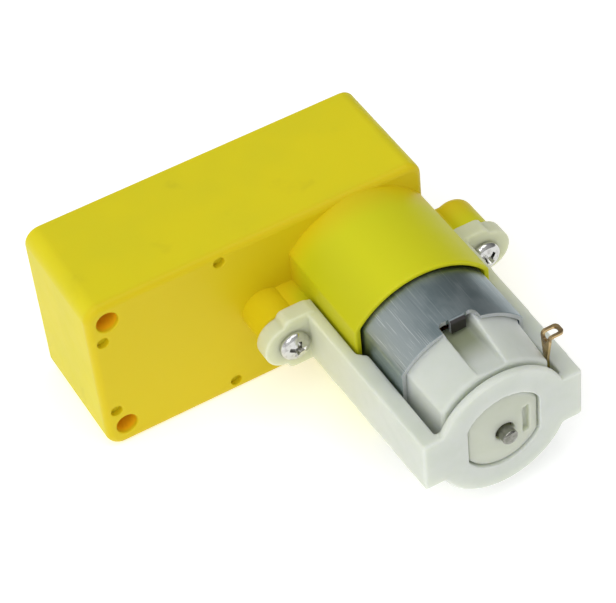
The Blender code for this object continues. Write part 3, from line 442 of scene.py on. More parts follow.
def apply_modifiers(piece):
    evaluated = piece.evaluated_get(bpy.context.evaluated_depsgraph_get())
    result = bpy.data.meshes.new_from_object(evaluated)
    piece.modifiers.clear()
    piece.data = result
    weld(result)


def weld(mesh):
    """Merge the twin points and slivers that a cut can leave."""
    bm = bmesh.new()
    bm.from_mesh(mesh)
    bmesh.ops.remove_doubles(bm, verts=bm.verts, dist=0.002)
    bmesh.ops.dissolve_degenerate(bm, dist=0.002, edges=bm.edges)
    bm.to_mesh(mesh)
    bm.free()


def carve(piece, joined, cut=()):
    for operation, tools in (("UNION", joined), ("DIFFERENCE", cut)):
        for tool in tools:
            combine(piece, tool, operation)


def build(name, bm, joined=(), cut=()):
    piece = new_object(name, bm)
    carve(piece, joined, cut)
    return piece


def move(piece, centre, y=0.0):
    """Move a piece modelled round x = z = 0 to the line along y through a centre."""
    piece.data.transform(Matrix.Translation((centre[0], y, centre[1])))


def soften(piece, voxel):
    """Melt a moulded piece's edges and inner corners slightly, as a mould's own radii do."""
    remesh = piece.modifiers.new("remesh", "REMESH")
    remesh.mode = "VOXEL"
    remesh.voxel_size = voxel
    smooth = piece.modifiers.new("smooth", "SMOOTH")
    smooth.factor = 0.5
    smooth.iterations = SMOOTHING_PASSES
    apply_modifiers(piece)


def place(piece, material, body, nodes, sharp=32.0):
    """Move a finished piece into the frame, give it its materials and shading, hang it on its body and
    hide the CAD nodes it replaces.
    """
    mesh = piece.data
    mesh.transform(Matrix.Translation(ORIGIN) @ Matrix.Scale(MM, 4))
    mesh.materials.clear()
    for item in material if isinstance(material, (list, tuple)) else [material]:
        mesh.materials.append(item)
    mesh.shade_smooth()
    mesh.set_sharp_from_angle(angle=radians(sharp))
    normals = piece.modifiers.new("weighted_normals", "WEIGHTED_NORMAL")
    normals.keep_sharp = True
    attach(piece, body)
    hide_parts(*nodes)
    return piece


# ---- material building blocks

def fill(node, **values):
    """Set a node's sockets by their names, with _ for each space."""
    for name, value in values.items():
        node.inputs[name.replace("_", " ")].default_value = value


class Finish:
    """A Principled material whose noises read the piece's own coordinates."""

    def __init__(self, name):
        self.material = bpy.data.materials.new(name)
        self.material.use_nodes = True
        self.tree = self.material.node_tree
        self.shader = self.tree.nodes["Principled BSDF"]
        self.coordinates = self.tree.nodes.new("ShaderNodeTexCoord").outputs["Object"]

    def node(self, kind, **values):
        made = self.tree.nodes.new(kind)
        fill(made, **values)
        return made

    def link(self, source, target):
        self.tree.links.new(source, target)

    def noise(self, feature, detail=3.0, roughness=0.5, stretch=(1.0, 1.0, 1.0)):
        """Noise with features of a size in millimetres, longer along the axes with stretch > 1."""
        mapping = self.node("ShaderNodeMapping", Scale=[1 / value for value in stretch])
        self.link(self.coordinates, mapping.inputs["Vector"])
        noise = self.node("ShaderNodeTexNoise", Scale=1 / (feature * MM), Detail=detail,
                          Roughness=roughness)
        self.link(mapping.outputs["Vector"], noise.inputs["Vector"])
        return noise.outputs["Fac"]

    def ramp(self, value, low, high):
        """The value's range from low to high, stretched to 0 to 1 with soft ends."""
        made = self.node("ShaderNodeMapRange", From_Min=low, From_Max=high)
        made.interpolation_type = "SMOOTHSTEP"
        self.link(value, made.inputs["Value"])
        return made.outputs["Result"]

    def joined(self, operation, first, second):
        """A sum, product or other result of a node's output and another one or a number."""
        made = self.node("ShaderNodeMath")
        made.operation = operation
        self.link(first, made.inputs[0])
        if isinstance(second, float):
            made.inputs[1].default_value = second
        else:
            self.link(second, made.inputs[1])
        return made.outputs["Value"]

    def product(self, first, *others):
        for other in others:
            first = self.joined("MULTIPLY", first, other)
        return first

    def axis(self, name, low, high):
        """How far a point is along an axis, from 0 at low to 1 at high, in frame millimetres."""
        split = self.node("ShaderNodeSeparateXYZ")
        self.link(self.coordinates, split.inputs["Vector"])
        offset = ORIGIN["XYZ".index(name)]
        return self.ramp(split.outputs[name], offset + low * MM, offset + high * MM)

    def vector_math(self, operation, value, operand=None):
        made = self.node("ShaderNodeVectorMath")
        made.operation = operation
        self.link(value, made.inputs[0])
        if operand is not None:
            made.inputs[1].default_value = operand
        return made.outputs["Value" if operation == "LENGTH" else "Vector"]

    def off_axis(self, centre, low, high):
        """How far a point is from a line along y, from 0 at low to 1 at high, in millimetres."""
        line = ORIGIN + Vector((centre[0], 0.0, centre[1])) * MM
        shift = self.vector_math("SUBTRACT", self.coordinates, line)
        flat = self.vector_math("MULTIPLY", shift, (1.0, 0.0, 1.0))
        return self.ramp(self.vector_math("LENGTH", flat), low * MM, high * MM)

    def blend(self, factor, first, second):
        """A colour from first to second. Each is a colour or another node's output."""
        mix = self.node("ShaderNodeMix")
        mix.data_type = "RGBA"
        for socket, value in ((mix.inputs[6], first), (mix.inputs[7], second)):
            if isinstance(value, tuple):
                socket.default_value = (*value, 1.0)
            else:
                self.link(value, socket)
        self.link(factor, mix.inputs[0])
        return mix.outputs[2]

    def paint(self, factor, colour, share=1.0):
        """Lay a colour over the base, as far as a factor and a share say."""
        if share != 1.0:
            factor = self.product(factor, share)
        self.base = self.blend(factor, self.base, colour)

    def done(self, gloss, *heights, **fixed):
        """The material, with a roughness from gloss = (value, low, high) for values of 0 to 1,
        and bumps from (value, height in millimetres) pairs, each laid on the one before."""
        value, low, high = gloss
        spread = self.node("ShaderNodeMapRange", To_Min=low, To_Max=high)
        self.link(value, spread.inputs["Value"])
        self.link(spread.outputs["Result"], self.shader.inputs["Roughness"])
        self.link(self.base, self.shader.inputs["Base Color"])
        normal = None
        for value, height in heights:
            bump = self.node("ShaderNodeBump", Strength=1.0, Distance=height * MM)
            self.link(value, bump.inputs["Height"])
            if normal is not None:
                self.link(normal, bump.inputs["Normal"])
            normal = bump.outputs["Normal"]
        self.link(normal, self.shader.inputs["Normal"])
        fill(self.shader, **fixed)
        return self.material


# ---- materials

def yellow_plastic():
    """Moulded yellow plastic: clouded, greener over the motor, with painted warm shade at the front,
    painted glow in the holes and painted shade on the barrel's low side.
    """
    finish = Finish("yellow_plastic_fine")
    clouds = finish.ramp(finish.noise(9.0, 2.0), 0.35, 0.70)
    finish.base = finish.blend(clouds, (0.740, 0.640, 0.010), (0.705, 0.620, 0.012))
    blotches = finish.ramp(finish.noise(6.0, 3.0, 0.6), 0.60, 0.80)
    finish.paint(blotches, (0.50, 0.43, 0.012), 0.30)
    # painted warm shade: everything at the front face and ahead of it turns orange, standing in for
    # light bounced between the yellow faces round the barrel
    finish.paint(finish.axis("Y", 1.4, 0.1), (0.690, 0.540, 0.008))
    over_motor = finish.product(finish.axis("Y", 0.5, -5.0),
                                finish.axis("X", AXIS_X - 11.5, AXIS_X - 9.0))
    finish.paint(over_motor, (0.640, 0.635, 0.010))
    # painted shade: the barrel darker towards its lower left side, where less light falls
    painted_low_side_shade = finish.product(over_motor, finish.axis("X", AXIS_X - 3.0, AXIS_X - 8.5))
    finish.paint(painted_low_side_shade, (0.540, 0.535, 0.008))
    # painted glow: the mounting holes' walls turn bright orange, standing in for light shining through
    # the plastic and bouncing inside them
    for spot in MOUNT_HOLES:
        painted_hole_glow = finish.product(finish.axis("Y", 0.1, 0.8),
                                finish.axis("Y", BOX_DEPTH - 0.3, BOX_DEPTH - 1.0),
                                finish.off_axis(spot, 1.75, 1.55))
        finish.paint(painted_hole_glow, (0.980, 0.560, 0.010))
    return finish.done((finish.noise(2.5, 4.0), 0.38, 0.50),
                       (finish.noise(5.0, 2.0), 0.04), (finish.noise(0.35, 3.0), 0.004),
                       Specular_IOR_Level=0.18, Subsurface_Weight=0.12,
                       Subsurface_Scale=0.8 * MM, Subsurface_Radius=(1.0, 0.55, 0.05))


def natural_nylon(name, paint_light):
    """Unfilled nylon: milky and see-through, with painted light and shade from a function: greener
    shade on the bell, yellower bounce on the bracket.
    """
    finish = Finish(name)
    clouds = finish.ramp(finish.noise(4.0, 3.0, 0.6), 0.35, 0.70)
    finish.base = finish.blend(clouds, (0.625, 0.660, 0.605), (0.595, 0.635, 0.572))
    streaks = finish.ramp(finish.noise(1.6, 3.0, 0.6, (1.0, 3.0, 1.0)), 0.58, 0.80)
    finish.paint(streaks, (0.540, 0.585, 0.490), 0.30)
    paint_light(finish)
    return finish.done((finish.noise(2.0, 4.0), 0.36, 0.52),
                       (finish.noise(2.2, 2.0), 0.04), (finish.noise(0.30, 3.0), 0.005),
                       Specular_IOR_Level=0.35, Subsurface_Weight=0.85,
                       Subsurface_Scale=2.4 * MM, Subsurface_Radius=(1.0, 1.0, 0.75))


def bracket_painted_bounce(finish):
    """Painted bounced light: yellower towards the gearbox, standing in for its yellow showing through
    and reflecting onto the thin arms.
    """
    finish.paint(finish.axis("Y", -26.0, -6.0), (0.640, 0.655, 0.430), 0.8)


def bell_painted_shade(finish):
    """Painted shade: darker and greener in the grooves beside the can, and on the rear boss inside the
    strap's hole.
    """
    # painted shade: the grooves beside the can darker and greener
    painted_groove_shade = finish.product(finish.axis("Y", CAN_Y[0] - 5.5, CAN_Y[0] - 0.2),
                                finish.axis("X", AXIS_X - 2.4, AXIS_X - 1.6),
                                finish.axis("X", AXIS_X + 2.6, AXIS_X + 0.8),
                                finish.off_axis(MOTOR_AXIS, 9.2, 8.7))
    finish.paint(painted_groove_shade, (0.215, 0.245, 0.120), 0.85)
    # painted shade: the rear boss darker and greener where it sits inside the strap's hole
    finish.paint(finish.off_axis(MOTOR_AXIS, 5.6, 4.7), (0.500, 0.525, 0.390), 0.55)


def can_steel():
    """Drawn and plated steel: blue-grey, with hairlines along its length, rubbed patches, a painted
    highlight on the left shoulder with scuffs painted as glints there, and painted shade on its tab's
    face."""
    finish = Finish("can_steel_fine")
    hairs = finish.noise(0.16, 3.0, 0.6, (1.0, 40.0, 1.0))
    patches = finish.ramp(finish.noise(3.2, 3.0, 0.6, (1.0, 1.6, 1.0)), 0.40, 0.66)
    finish.base = finish.blend(patches, (0.225, 0.285, 0.300), (0.290, 0.345, 0.360))
    # painted highlight: the can's left shoulder lighter, standing in for bright light reflected there
    painted_shoulder_sheen = finish.product(finish.axis("X", AXIS_X - 2.5, AXIS_X - 6.0),
                              finish.axis("X", AXIS_X - 8.1, AXIS_X - 7.7))
    finish.paint(painted_shoulder_sheen, (0.385, 0.440, 0.450))
    finish.paint(finish.ramp(hairs, 0.52, 0.72), (0.46, 0.52, 0.53), 0.5)
    # scuff streaks painted bright only on the lit shoulder: partly wear, partly painted glints
    scuffs_and_glints = finish.ramp(finish.noise(0.11, 2.0, 0.5, (1.0, 50.0, 1.0)), 0.60, 0.68)
    finish.paint(finish.product(scuffs_and_glints, painted_shoulder_sheen), (0.75, 0.80, 0.80), 0.8)
    scratches = finish.ramp(finish.noise(0.30, 2.0, 0.5, (1.0, 70.0, 1.0)), 0.66, 0.72)
    finish.paint(scratches, (0.12, 0.15, 0.16), 0.5)
    # painted shade: the tab's bent face near black, standing in for the shadow it lies in
    painted_tab_shade = finish.product(finish.axis("Y", TAB_FACE_Y + 0.42, TAB_FACE_Y + 0.22),
                              finish.axis("X", AXIS_X - 1.15, AXIS_X - 1.05),
                              finish.axis("X", AXIS_X + 1.15, AXIS_X + 1.05))
    finish.paint(painted_tab_shade, (0.085, 0.080, 0.080))
    wear = finish.joined("ADD", finish.product(patches, 0.5), finish.product(hairs, 0.5))
    return finish.done((wear, 0.30, 0.50), (finish.noise(2.6, 2.0), 0.03), (hairs, 0.006),
                       (scratches, -0.01), Metallic=1.0)


def grained_metal(name, colours, grain, gloss, height, ridges=None, limits=None, metallic=1.0):
    """A metal that a noise turns from its first colour to its second and from glossy to dull.

    The grain and the ridges are what Finish.noise takes. Without ridges, the grains stand out.
    """
    finish = Finish(name)
    grains = finish.noise(*grain)
    if limits:
        grains = finish.ramp(grains, *limits)
    finish.base = finish.blend(grains, *colours)
    relief = finish.noise(*ridges) if ridges else grains
    return finish.done((grains, *gloss), (relief, height), Metallic=metallic)


def plated_steel(name, light, dark, *gloss):
    """Nickel-plated screw and shaft steel with fine tool marks and dull spots."""
    return grained_metal(name, (light, dark), (0.7, 3.0, 0.6), gloss, 0.003,
                         (0.10, 3.0, 0.6, (1.0, 3.0, 1.0)), (0.45, 0.70))


def tinned_copper(name, light, dark):
    """Stamped copper alloy, brown where it has tarnished and bright along its rubbed parts."""
    return grained_metal(name, (light, dark), (0.9, 3.0, 0.6), (0.18, 0.38), 0.006,
                         (0.25, 3.0), (0.42, 0.66))


def white_nylon(name, light, dark):
    """Gear and shaft nylon: matt, faintly clouded."""
    finish = Finish(name)
    clouds = finish.ramp(finish.noise(2.4, 3.0, 0.6), 0.35, 0.70)
    finish.base = finish.blend(clouds, light, dark)
    return finish.done((finish.noise(1.2, 3.0), 0.36, 0.50),
                       (finish.noise(1.5, 2.0), 0.02), (finish.noise(0.25, 3.0), 0.004),
                       Specular_IOR_Level=0.35, Subsurface_Weight=0.20,
                       Subsurface_Scale=0.8 * MM, Subsurface_Radius=(1.0, 0.9, 0.8))


def speckled_metal(name, light, dark, feature, roughness, metallic=1.0):
    """A metal or ceramic with grains of a size in millimetres."""
    gloss = (roughness - 0.08, roughness + 0.08)
    return grained_metal(name, (light, dark), (feature, 4.0, 0.6), gloss, feature * 0.02,
                         limits=(0.35, 0.70), metallic=metallic)


def layered_steel():
    """The armature's stack of sheets, seen as fine rings along y."""
    finish = Finish("core_steel_fine")
    split = finish.node("ShaderNodeSeparateXYZ")
    finish.link(finish.coordinates, split.inputs["Vector"])
    sheet = 0.5 * MM
    wave = finish.joined("PINGPONG", split.outputs["Y"], sheet / 2)
    edge = finish.ramp(wave, 0.0, sheet * 0.12)
    finish.base = finish.blend(edge, (0.10, 0.10, 0.11), (0.38, 0.38, 0.40))
    return finish.done((finish.noise(0.5, 3.0), 0.36, 0.55), (edge, 0.03), Metallic=1.0)


YELLOW = yellow_plastic()
NYLON = natural_nylon("bracket_nylon_fine", bracket_painted_bounce)
BELL_NYLON = natural_nylon("bell_nylon_fine", bell_painted_shade)
CAN_STEEL = can_steel()
CUT_STEEL = grained_metal("cut_steel_fine", ((0.50, 0.52, 0.54), (0.72, 0.74, 0.76)),
                          (0.12, 3.0, 0.6, (1.0, 6.0, 1.0)), (0.30, 0.45), 0.003, metallic=0.7)
SCREW_STEEL = plated_steel("plated_steel_fine", (0.62, 0.62, 0.60), (0.46, 0.45, 0.43), 0.10, 0.24)
SHAFT_STEEL = plated_steel("shaft_steel_fine", (0.29, 0.29, 0.26), (0.19, 0.19, 0.16), 0.12, 0.26)
COPPER = tinned_copper("copper_fine", (0.72, 0.42, 0.20), (0.34, 0.17, 0.07))
BRASS = tinned_copper("brass_fine", (0.52, 0.38, 0.19), (0.26, 0.18, 0.09))
SHAFT_NYLON = white_nylon("shaft_nylon_fine", (0.70, 0.70, 0.67), (0.64, 0.64, 0.60))
GEAR_NYLON = white_nylon("gear_nylon_fine", (0.66, 0.65, 0.58), (0.60, 0.58, 0.50))
BRONZE = speckled_metal("bronze_fine", (0.56, 0.38, 0.18), (0.36, 0.22, 0.09), 0.15, 0.42)
# painted shade: near-black bearing bronze, so the rear bearing seen down the bell's shaft hole reads
# as the hole's dark depth
SHADOWED_BRONZE = speckled_metal("shadowed_bronze_fine", (0.10, 0.07, 0.045), (0.05, 0.036, 0.022),
                              0.15, 0.4)
FERRITE = speckled_metal("ferrite_fine", (0.050, 0.050, 0.052), (0.020, 0.020, 0.022),
                         0.25, 0.66, 0.0)
CORE_STEEL = layered_steel()
WIRE = grained_metal("enamelled_wire_fine", ((0.42, 0.12, 0.03), (0.78, 0.34, 0.12)),
                     (0.22, 1.0, 0.4, (1.0, 30.0, 1.0)), (0.20, 0.36), 0.04, metallic=0.7)


# ---- gearbox

def make_housing():
    """Box, motor barrel and screw bosses in one moulding, open at the back."""
    shell = rounded_prism(box_outline(0.0), 0.0, BOX_DEPTH, low=FRONT_ROUND, high=0.15, steps=8)
    barrel = flatted_circle(BARREL_RADIUS - 0.03, BARREL_HALF_WIDTH - 0.03, BARREL_CORNER)
    lip = rounded_end(barrel, BARREL_LIP_Y, 0.3)
    joined = [at(MOTOR_AXIS, loft(lip + [(barrel, y) for y in (-14.6, -10.0, -6.0, -3.0, -1.0, 1.4)]))]
    for side in (-1, 1):
        joined.append(housing_boss(side))
        joined.append(housing_rib(side))
    cut = [prism(box_outline(WALL), FRONT_WALL, BOX_DEPTH + 1),
           flared_cutter(box_outline(RIM), BOX_DEPTH, LEDGE_Y - GAP, 0.1)]
    piece = build("gearbox_housing_fine", shell, joined, cut)
    carve(piece, housing_posts(), housing_cuts())
    place(piece, YELLOW, BODY, ["gearbox_housing"])


def housing_boss(side):
    front_y = EAR_Y[1] + GAP
    profile = [(0, front_y), (BOSS_RADIUS - 0.15, front_y), (BOSS_RADIUS, front_y + 0.15)]
    profile += [(BOSS_RADIUS - BOSS_DOME * (1 - cos(a)), BOSS_BACK_Y - BOSS_DOME * (1 - sin(a)))
                for a in [radians(10 * step) for step in range(10)]]
    profile.append((0, BOSS_BACK_Y))
    return at((AXIS_X + side * SCREW_OFFSET, AXIS_Z), turned(profile, 48))


def housing_rib(side):
    """The web between a boss and the barrel, with rounded upper and lower edges."""
    inner, outer = ordered(side * (BARREL_HALF_WIDTH - 1), side * SCREW_OFFSET)
    front_y = EAR_Y[1] + GAP + 0.4
    outline = rounded_rectangle(front_y, 0.8, -RIB_HALF_HEIGHT, RIB_HALF_HEIGHT, 0.4, 0.4, 6)
    return at(MOTOR_AXIS, sideways(outline, inner, outer))


def housing_posts():
    """Inner posts: round the mounting holes, for the cover screws and for the axle pins."""
    start_y = FRONT_WALL - 0.5
    ledge = LEDGE_Y - GAP
    posts = [at(spot, rod(MOUNT_POST_RADIUS, start_y, BOX_DEPTH, 48)) for spot in MOUNT_HOLES]
    for spot in COVER_SCREWS:
        front = start_y if spot[0] > AXIS_X else SCREW_POST_FRONT_Y
        posts.append(at(spot, rod(SCREW_POST_RADIUS, front, ledge, 32)))
        wall_z = BOX_HEIGHT - WALL / 2 if spot[1] > AXIS_Z else WALL / 2
        posts.append(block(spot[0] - 1, spot[0] + 1, front, ledge - 0.2, *ordered(spot[1], wall_z)))
    for spot, radius, end in ((AXLES[0], 1.6, 2.25), (AXLES[1], 1.3, 4.5), (OUTPUT_AXIS, 3.4, 3.8)):
        posts.append(at(spot, rod(radius, start_y, end, 40)))
    return posts


def housing_cuts():
    """The motor's pocket, the mounting holes, screw pilots, axle sockets and front dimples."""
    pocket = flatted_circle(POCKET_RADIUS, POCKET_HALF_WIDTH, CAN_CORNER)
    cuts = [at(MOTOR_AXIS, flared_cutter(pocket, BARREL_LIP_Y, PARTITION_Y[0], 0.12)),
            at(MOTOR_AXIS, rod(NOSE_HOLE_RADIUS, PARTITION_Y[0] - 1, PARTITION_Y[1] + 1)),
            at(MOTOR_AXIS, rod(CORE_RADIUS, PARTITION_Y[1], FRONT_WALL + 0.2))]
    hole = circle(MOUNT_HOLE_RADIUS, 40)
    for spot in MOUNT_HOLES:
        cuts.append(at(spot, flared_cutter(hole, 0.0, BOX_DEPTH / 2 + 0.1, 0.2)))
        cuts.append(at(spot, flared_cutter(hole, BOX_DEPTH, BOX_DEPTH / 2 - 0.1, 0.2)))
    for spot in COVER_SCREWS:
        cuts.append(at(spot, rod(SHANK_HOLE_RADIUS, 8.0, LEDGE_Y + 1, 24)))
    for side in (-1, 1):
        spot = (AXIS_X + side * SCREW_OFFSET, AXIS_Z)
        cuts.append(at(spot, rod(SHANK_HOLE_RADIUS, EAR_Y[1] - 1, -0.6, 24)))
    for spot in AXLES:
        cuts.append(at(spot, rod(AXLE_BORE_RADIUS, *SOCKET_Y, 24)))
    cuts.append(at(OUTPUT_AXIS, rod(JOURNAL_SOCKET_RADIUS, *SOCKET_Y, 32)))
    dimple = circle(DIMPLE_RADIUS, 28)
    for x, offset in DIMPLES:
        for spot in ((x, AXIS_Z + offset), (x, AXIS_Z - offset)):
            cuts.append(at(spot, flared_cutter(dimple, 0.0, DIMPLE_DEPTH, 0.12)))
    return cuts


def make_cover():
    """The plate let into the housing's back, with the output collar and screw counterbores."""
    plate = rounded_prism(box_outline(COVER_INSET), LEDGE_Y, BOX_DEPTH, high=0.2, steps=4)
    collar_y = span("gearbox_cover")[1][1]
    profile = [(0, COVER_INNER_Y), (COLLAR_RADIUS, COVER_INNER_Y)]
    profile += [(COLLAR_RADIUS - COLLAR_ROUND * (1 - cos(a)), collar_y - COLLAR_ROUND * (1 - sin(a)))
                for a in (0, radians(30), radians(60), radians(90))]
    joined = [at(OUTPUT_AXIS, turned(profile + [(0, collar_y)]))]
    joined += [at(spot, rod(AXLE_BOSS_RADIUS, COVER_INNER_Y, LEDGE_Y + 1, 32)) for spot in AXLES]
    start_y = PAST_COVER[0]
    cut = [at(OUTPUT_AXIS, flared_cutter(circle(COLLAR_BORE_RADIUS, 48), collar_y, start_y, 0.15))]
    cut += [at(spot, rod(AXLE_BORE_RADIUS, start_y, BOX_DEPTH - 0.8, 24)) for spot in AXLES]
    cut += [at(spot, rod(MOUNT_POST_RADIUS + GAP, *PAST_COVER, 48)) for spot in MOUNT_HOLES]
    counterbore = circle(COUNTERBORE_RADIUS, 40)
    for spot in COVER_SCREWS:
        cut.append(at(spot, rod(SHANK_HOLE_RADIUS, *PAST_COVER, 24)))
        seat_y = BOX_DEPTH - COUNTERBORE_DEPTH
        cut.append(at(spot, flared_cutter(counterbore, BOX_DEPTH, seat_y, 0.12)))
    piece = build("gearbox_cover_fine", plate, joined, cut)
    place(piece, YELLOW, BODY, ["gearbox_cover"])


# ---- screws

def cross_outline(half_width, reach):
    """A plus sign, anticlockwise."""
    points = [(-reach, -half_width), (-half_width, -half_width), (-half_width, -reach)]
    for _ in range(3):
        points += [(-z, x) for x, z in points[-3:]]
    return points


def screw_head(radius, height):
    """A pan head's profile from its top centre to its seat at y = 0."""
    profile = [(0, -height)]
    crown = 0.25 * height
    for step in range(1, 5):
        share = step / 4
        profile.append((radius * 0.62 * share, -height + crown * share ** 2))
    rim_radius = radius * 0.38
    drop = height - crown
    for step in range(1, 8):
        angle = step * pi / 16
        inset = rim_radius * (1 - sin(angle))
        profile.append((radius - inset, -drop + drop * 0.75 * (1 - cos(angle))))
    profile.append((radius, -drop * 0.22))
    profile.append((radius - 0.05, 0))
    return profile


def screw_shank(length, pitch=0.6, core=0.66, crest=0.86):
    """Thread ridges down to a pointed tip, as (radius, y) points."""
    profile = [(core, 0.0), (core, 0.3)]
    turns = int((length - 1.2) / pitch)
    for turn in range(turns):
        start = 0.3 + turn * pitch
        profile += [(core, start + 0.15), (crest, start + pitch * 0.5), (core, start + pitch * 0.85)]
    profile += [(core * 0.8, length - 0.5), (0, length)]
    return profile


def make_screw(node, head_radius, head_height, length, seat_y, turn, reverse=False):
    """A cross-recess screw. Its head faces -y, or +y when reversed."""
    bm = turned(screw_head(head_radius, head_height) + screw_shank(length), 56)
    top = -head_height - 0.3
    mouth = cross_outline(head_radius * 0.14, head_radius * 0.62)
    floor = cross_outline(head_radius * 0.10, head_radius * 0.34)
    recess = loft([(mouth, top), (mouth, -head_height + 0.1), (floor, -head_height * 0.28)])
    cone = turned([(0, top), (head_radius * 0.30, top), (head_radius * 0.26, -head_height + 0.2),
                   (0, -head_height * 0.15)], 24)
    spot = node_axis(node)
    piece = build(node + "_fine", bm, cut=(recess, cone))
    spin = Matrix.Rotation(turn, 4, "Y")
    if reverse:
        spin = Matrix.Rotation(pi, 4, "Z") @ spin
    piece.data.transform(Matrix.Translation((spot[0], seat_y, spot[1])) @ spin)
    place(piece, SCREW_STEEL, BODY, [node])


def make_screws():
    for side, turn in (("left", 20), ("right", 52)):
        node = f"bracket_screw_{side}"
        seat_y = span(node)[1][0] + BRACKET_SCREW[1]
        make_screw(node, *BRACKET_SCREW, seat_y, radians(turn))
    for index in (1, 2, 3, 4):
        node = f"cover_screw_{index}"
        seat_y = span(node)[1][1] - COVER_SCREW[1]
        make_screw(node, *COVER_SCREW, seat_y, radians(31 * index), reverse=True)


# ---- bracket

def strap_outline():
    """The strap seen from above: a U of (x, y) points, with rounded outer corners."""
    inner_barrel = BARREL_HALF_WIDTH + GAP
    step_y = BARREL_LIP_Y - GAP
    right = [(ARM_OUTER_EAR, EAR_Y[1]), (inner_barrel, EAR_Y[1]), (inner_barrel, step_y),
             (ARM_INNER_PLATE, step_y - 1.0), (ARM_INNER_PLATE, PLATE_Y[1])]
    left = [(-x, y) for x, y in reversed(right)]
    centre_x = ARM_OUTER_PLATE - STRAP_CORNER
    centre_y = PLATE_Y[0] + STRAP_CORNER
    outer_left = arc(-centre_x, centre_y, STRAP_CORNER, pi, 1.5 * pi, 6)
    outer_right = arc(centre_x, centre_y, STRAP_CORNER, 1.5 * pi, 2 * pi, 6)
    return right + left + outer_left + outer_right


def make_bracket():
    """The nylon strap round the motor's rear, screwed to the housing by its two ears."""
    strap = upright(strap_outline(), -ARM_HALF_HEIGHT, ARM_HALF_HEIGHT)
    joined = [rounded_prism(circle(PLATE_RADIUS, 96), *PLATE_Y, low=0.25, high=0.6)]
    hole = flatted_circle(PLATE_HOLE_RADIUS, PLATE_HOLE_HALF_WIDTH, 0.15)
    cut = [prism(hole, PLATE_Y[0] - 1, PLATE_Y[1] + 1)]
    half_width = (EAR_BLOCK_X[1] - EAR_BLOCK_X[0]) / 2
    ear_block = rounded_rectangle(-half_width, half_width, -EAR_HALF_HEIGHT, EAR_HALF_HEIGHT,
                                  EAR_CORNER, EAR_CORNER)
    for side in (-1, 1):
        joined.append(shifted(rod(EAR_RADIUS, *EAR_Y, 48), x=side * EAR_OFFSET))
        joined.append(shifted(prism(ear_block, *EAR_Y), x=side * middle(EAR_BLOCK_X)))
        screw_hole = rod(EAR_HOLE_RADIUS, EAR_Y[0] - 1, EAR_Y[1] + 1, 32)
        cut.append(shifted(screw_hole, x=side * SCREW_OFFSET))
    piece = build("motor_bracket_fine", strap, joined, cut)
    soften(piece, BRACKET_VOXEL)
    move(piece, MOTOR_AXIS)
    place(piece, NYLON, BODY, ["motor_bracket"], NYLON_SHARP_ANGLE)


# ---- motor

def make_can():
    """A drawn steel can with a bearing nose, two flats, notches and bent tabs at its rear."""
    outline = flatted_circle(CAN_RADIUS, CAN_HALF_WIDTH, CAN_CORNER)
    cup = rounded_end(outline, CAN_Y[1], CAN_WALL, inward=-1)
    rear = CAN_Y[0]
    rim = ((0.0, rear + 0.06), (0.06, rear), (CAN_WALL - 0.06, rear), (CAN_WALL, rear + 0.06))
    cup += [(inset_outline(outline, inset), y) for inset, y in rim]
    cup.append((inset_outline(outline, CAN_WALL), CAN_Y[1] - CAN_WALL))
    nose = rod(NOSE_RADIUS, CAN_Y[1] - 0.4, NOSE_Y)
    cut = [rod(NOSE_CAVITY_RADIUS, CAN_Y[1] - 1, NOSE_Y - 0.4, 48),
           rod(NOSE_BORE_RADIUS, CAN_Y[1] - 1, NOSE_Y + 1, 48)]
    for side in (-1, 1):
        cut += can_notches(side)
    piece = build("motor_can_fine", loft(cup), [nose], cut)
    carve(piece, [can_tab(side) for side in (-1, 1)])
    move(piece, MOTOR_AXIS)
    place(piece, [CAN_STEEL, CUT_STEEL], BODY, ["motor_can"], CAN_SHARP_ANGLE)
    mark_cut_edges(piece)


def can_tab(side):
    """The short tab between the notches, bent inwards in an arc."""
    outer_z = CAN_RADIUS - 0.04
    centre = (outer_z - TAB_BEND, TAB_FACE_Y + TAB_BEND)
    turns = [radians(15 * step) for step in range(7)]
    skins = []
    for depth in (0.0, TAB_THICKNESS):
        bend = TAB_BEND - depth
        skins.append([(outer_z - depth, centre[1] + 0.25)]
                     + [(centre[0] + bend * cos(a), centre[1] - bend * sin(a)) for a in turns]
                     + [(TAB_END, TAB_FACE_Y + depth)])
    outline = [(y, side * z) for z, y in skins[0] + skins[1][::-1]]
    return sideways(outline, -TAB_HALF_WIDTH, TAB_HALF_WIDTH)


def can_notches(side):
    """Two round-ended notches, and the part of the rim that the tab between them leaves."""
    z_low, z_high = ordered(side * 8, side * 11)
    tools = []
    for offset in (-NOTCH_OFFSET, NOTCH_OFFSET):
        end_y = CAN_Y[0] + NOTCH_DEPTH - NOTCH_RADIUS
        outline = arc(offset, end_y, NOTCH_RADIUS, 0.0, pi, 20)
        outline += [(offset - NOTCH_RADIUS, CAN_Y[0] - 1), (offset + NOTCH_RADIUS, CAN_Y[0] - 1)]
        tools.append(upright(outline, z_low, z_high))
    tools.append(block(-NOTCH_OFFSET, NOTCH_OFFSET, CAN_Y[0] - 1, TAB_FACE_Y + TAB_BEND,
                       z_low, z_high))
    return tools


def mark_cut_edges(piece):
    """Give the can's rear rim and the notches' walls the sheared edge's material."""
    rim = CAN_Y[0] + NOTCH_DEPTH + 0.05
    for face in piece.data.polygons:
        spot = (face.center - ORIGIN) / MM - Vector((AXIS_X, 0, AXIS_Z))
        distance = hypot(spot.x, spot.z)
        facing = (face.normal.x * spot.x + face.normal.z * spot.z) / distance
        on_tab = abs(spot.x) < TAB_HALF_WIDTH - 0.02 and abs(spot.z) > CAN_HALF_WIDTH
        if spot.y < rim and abs(facing) < 0.5 and distance > CAN_HALF_WIDTH - 1 and not on_tab:
            face.material_index = 1


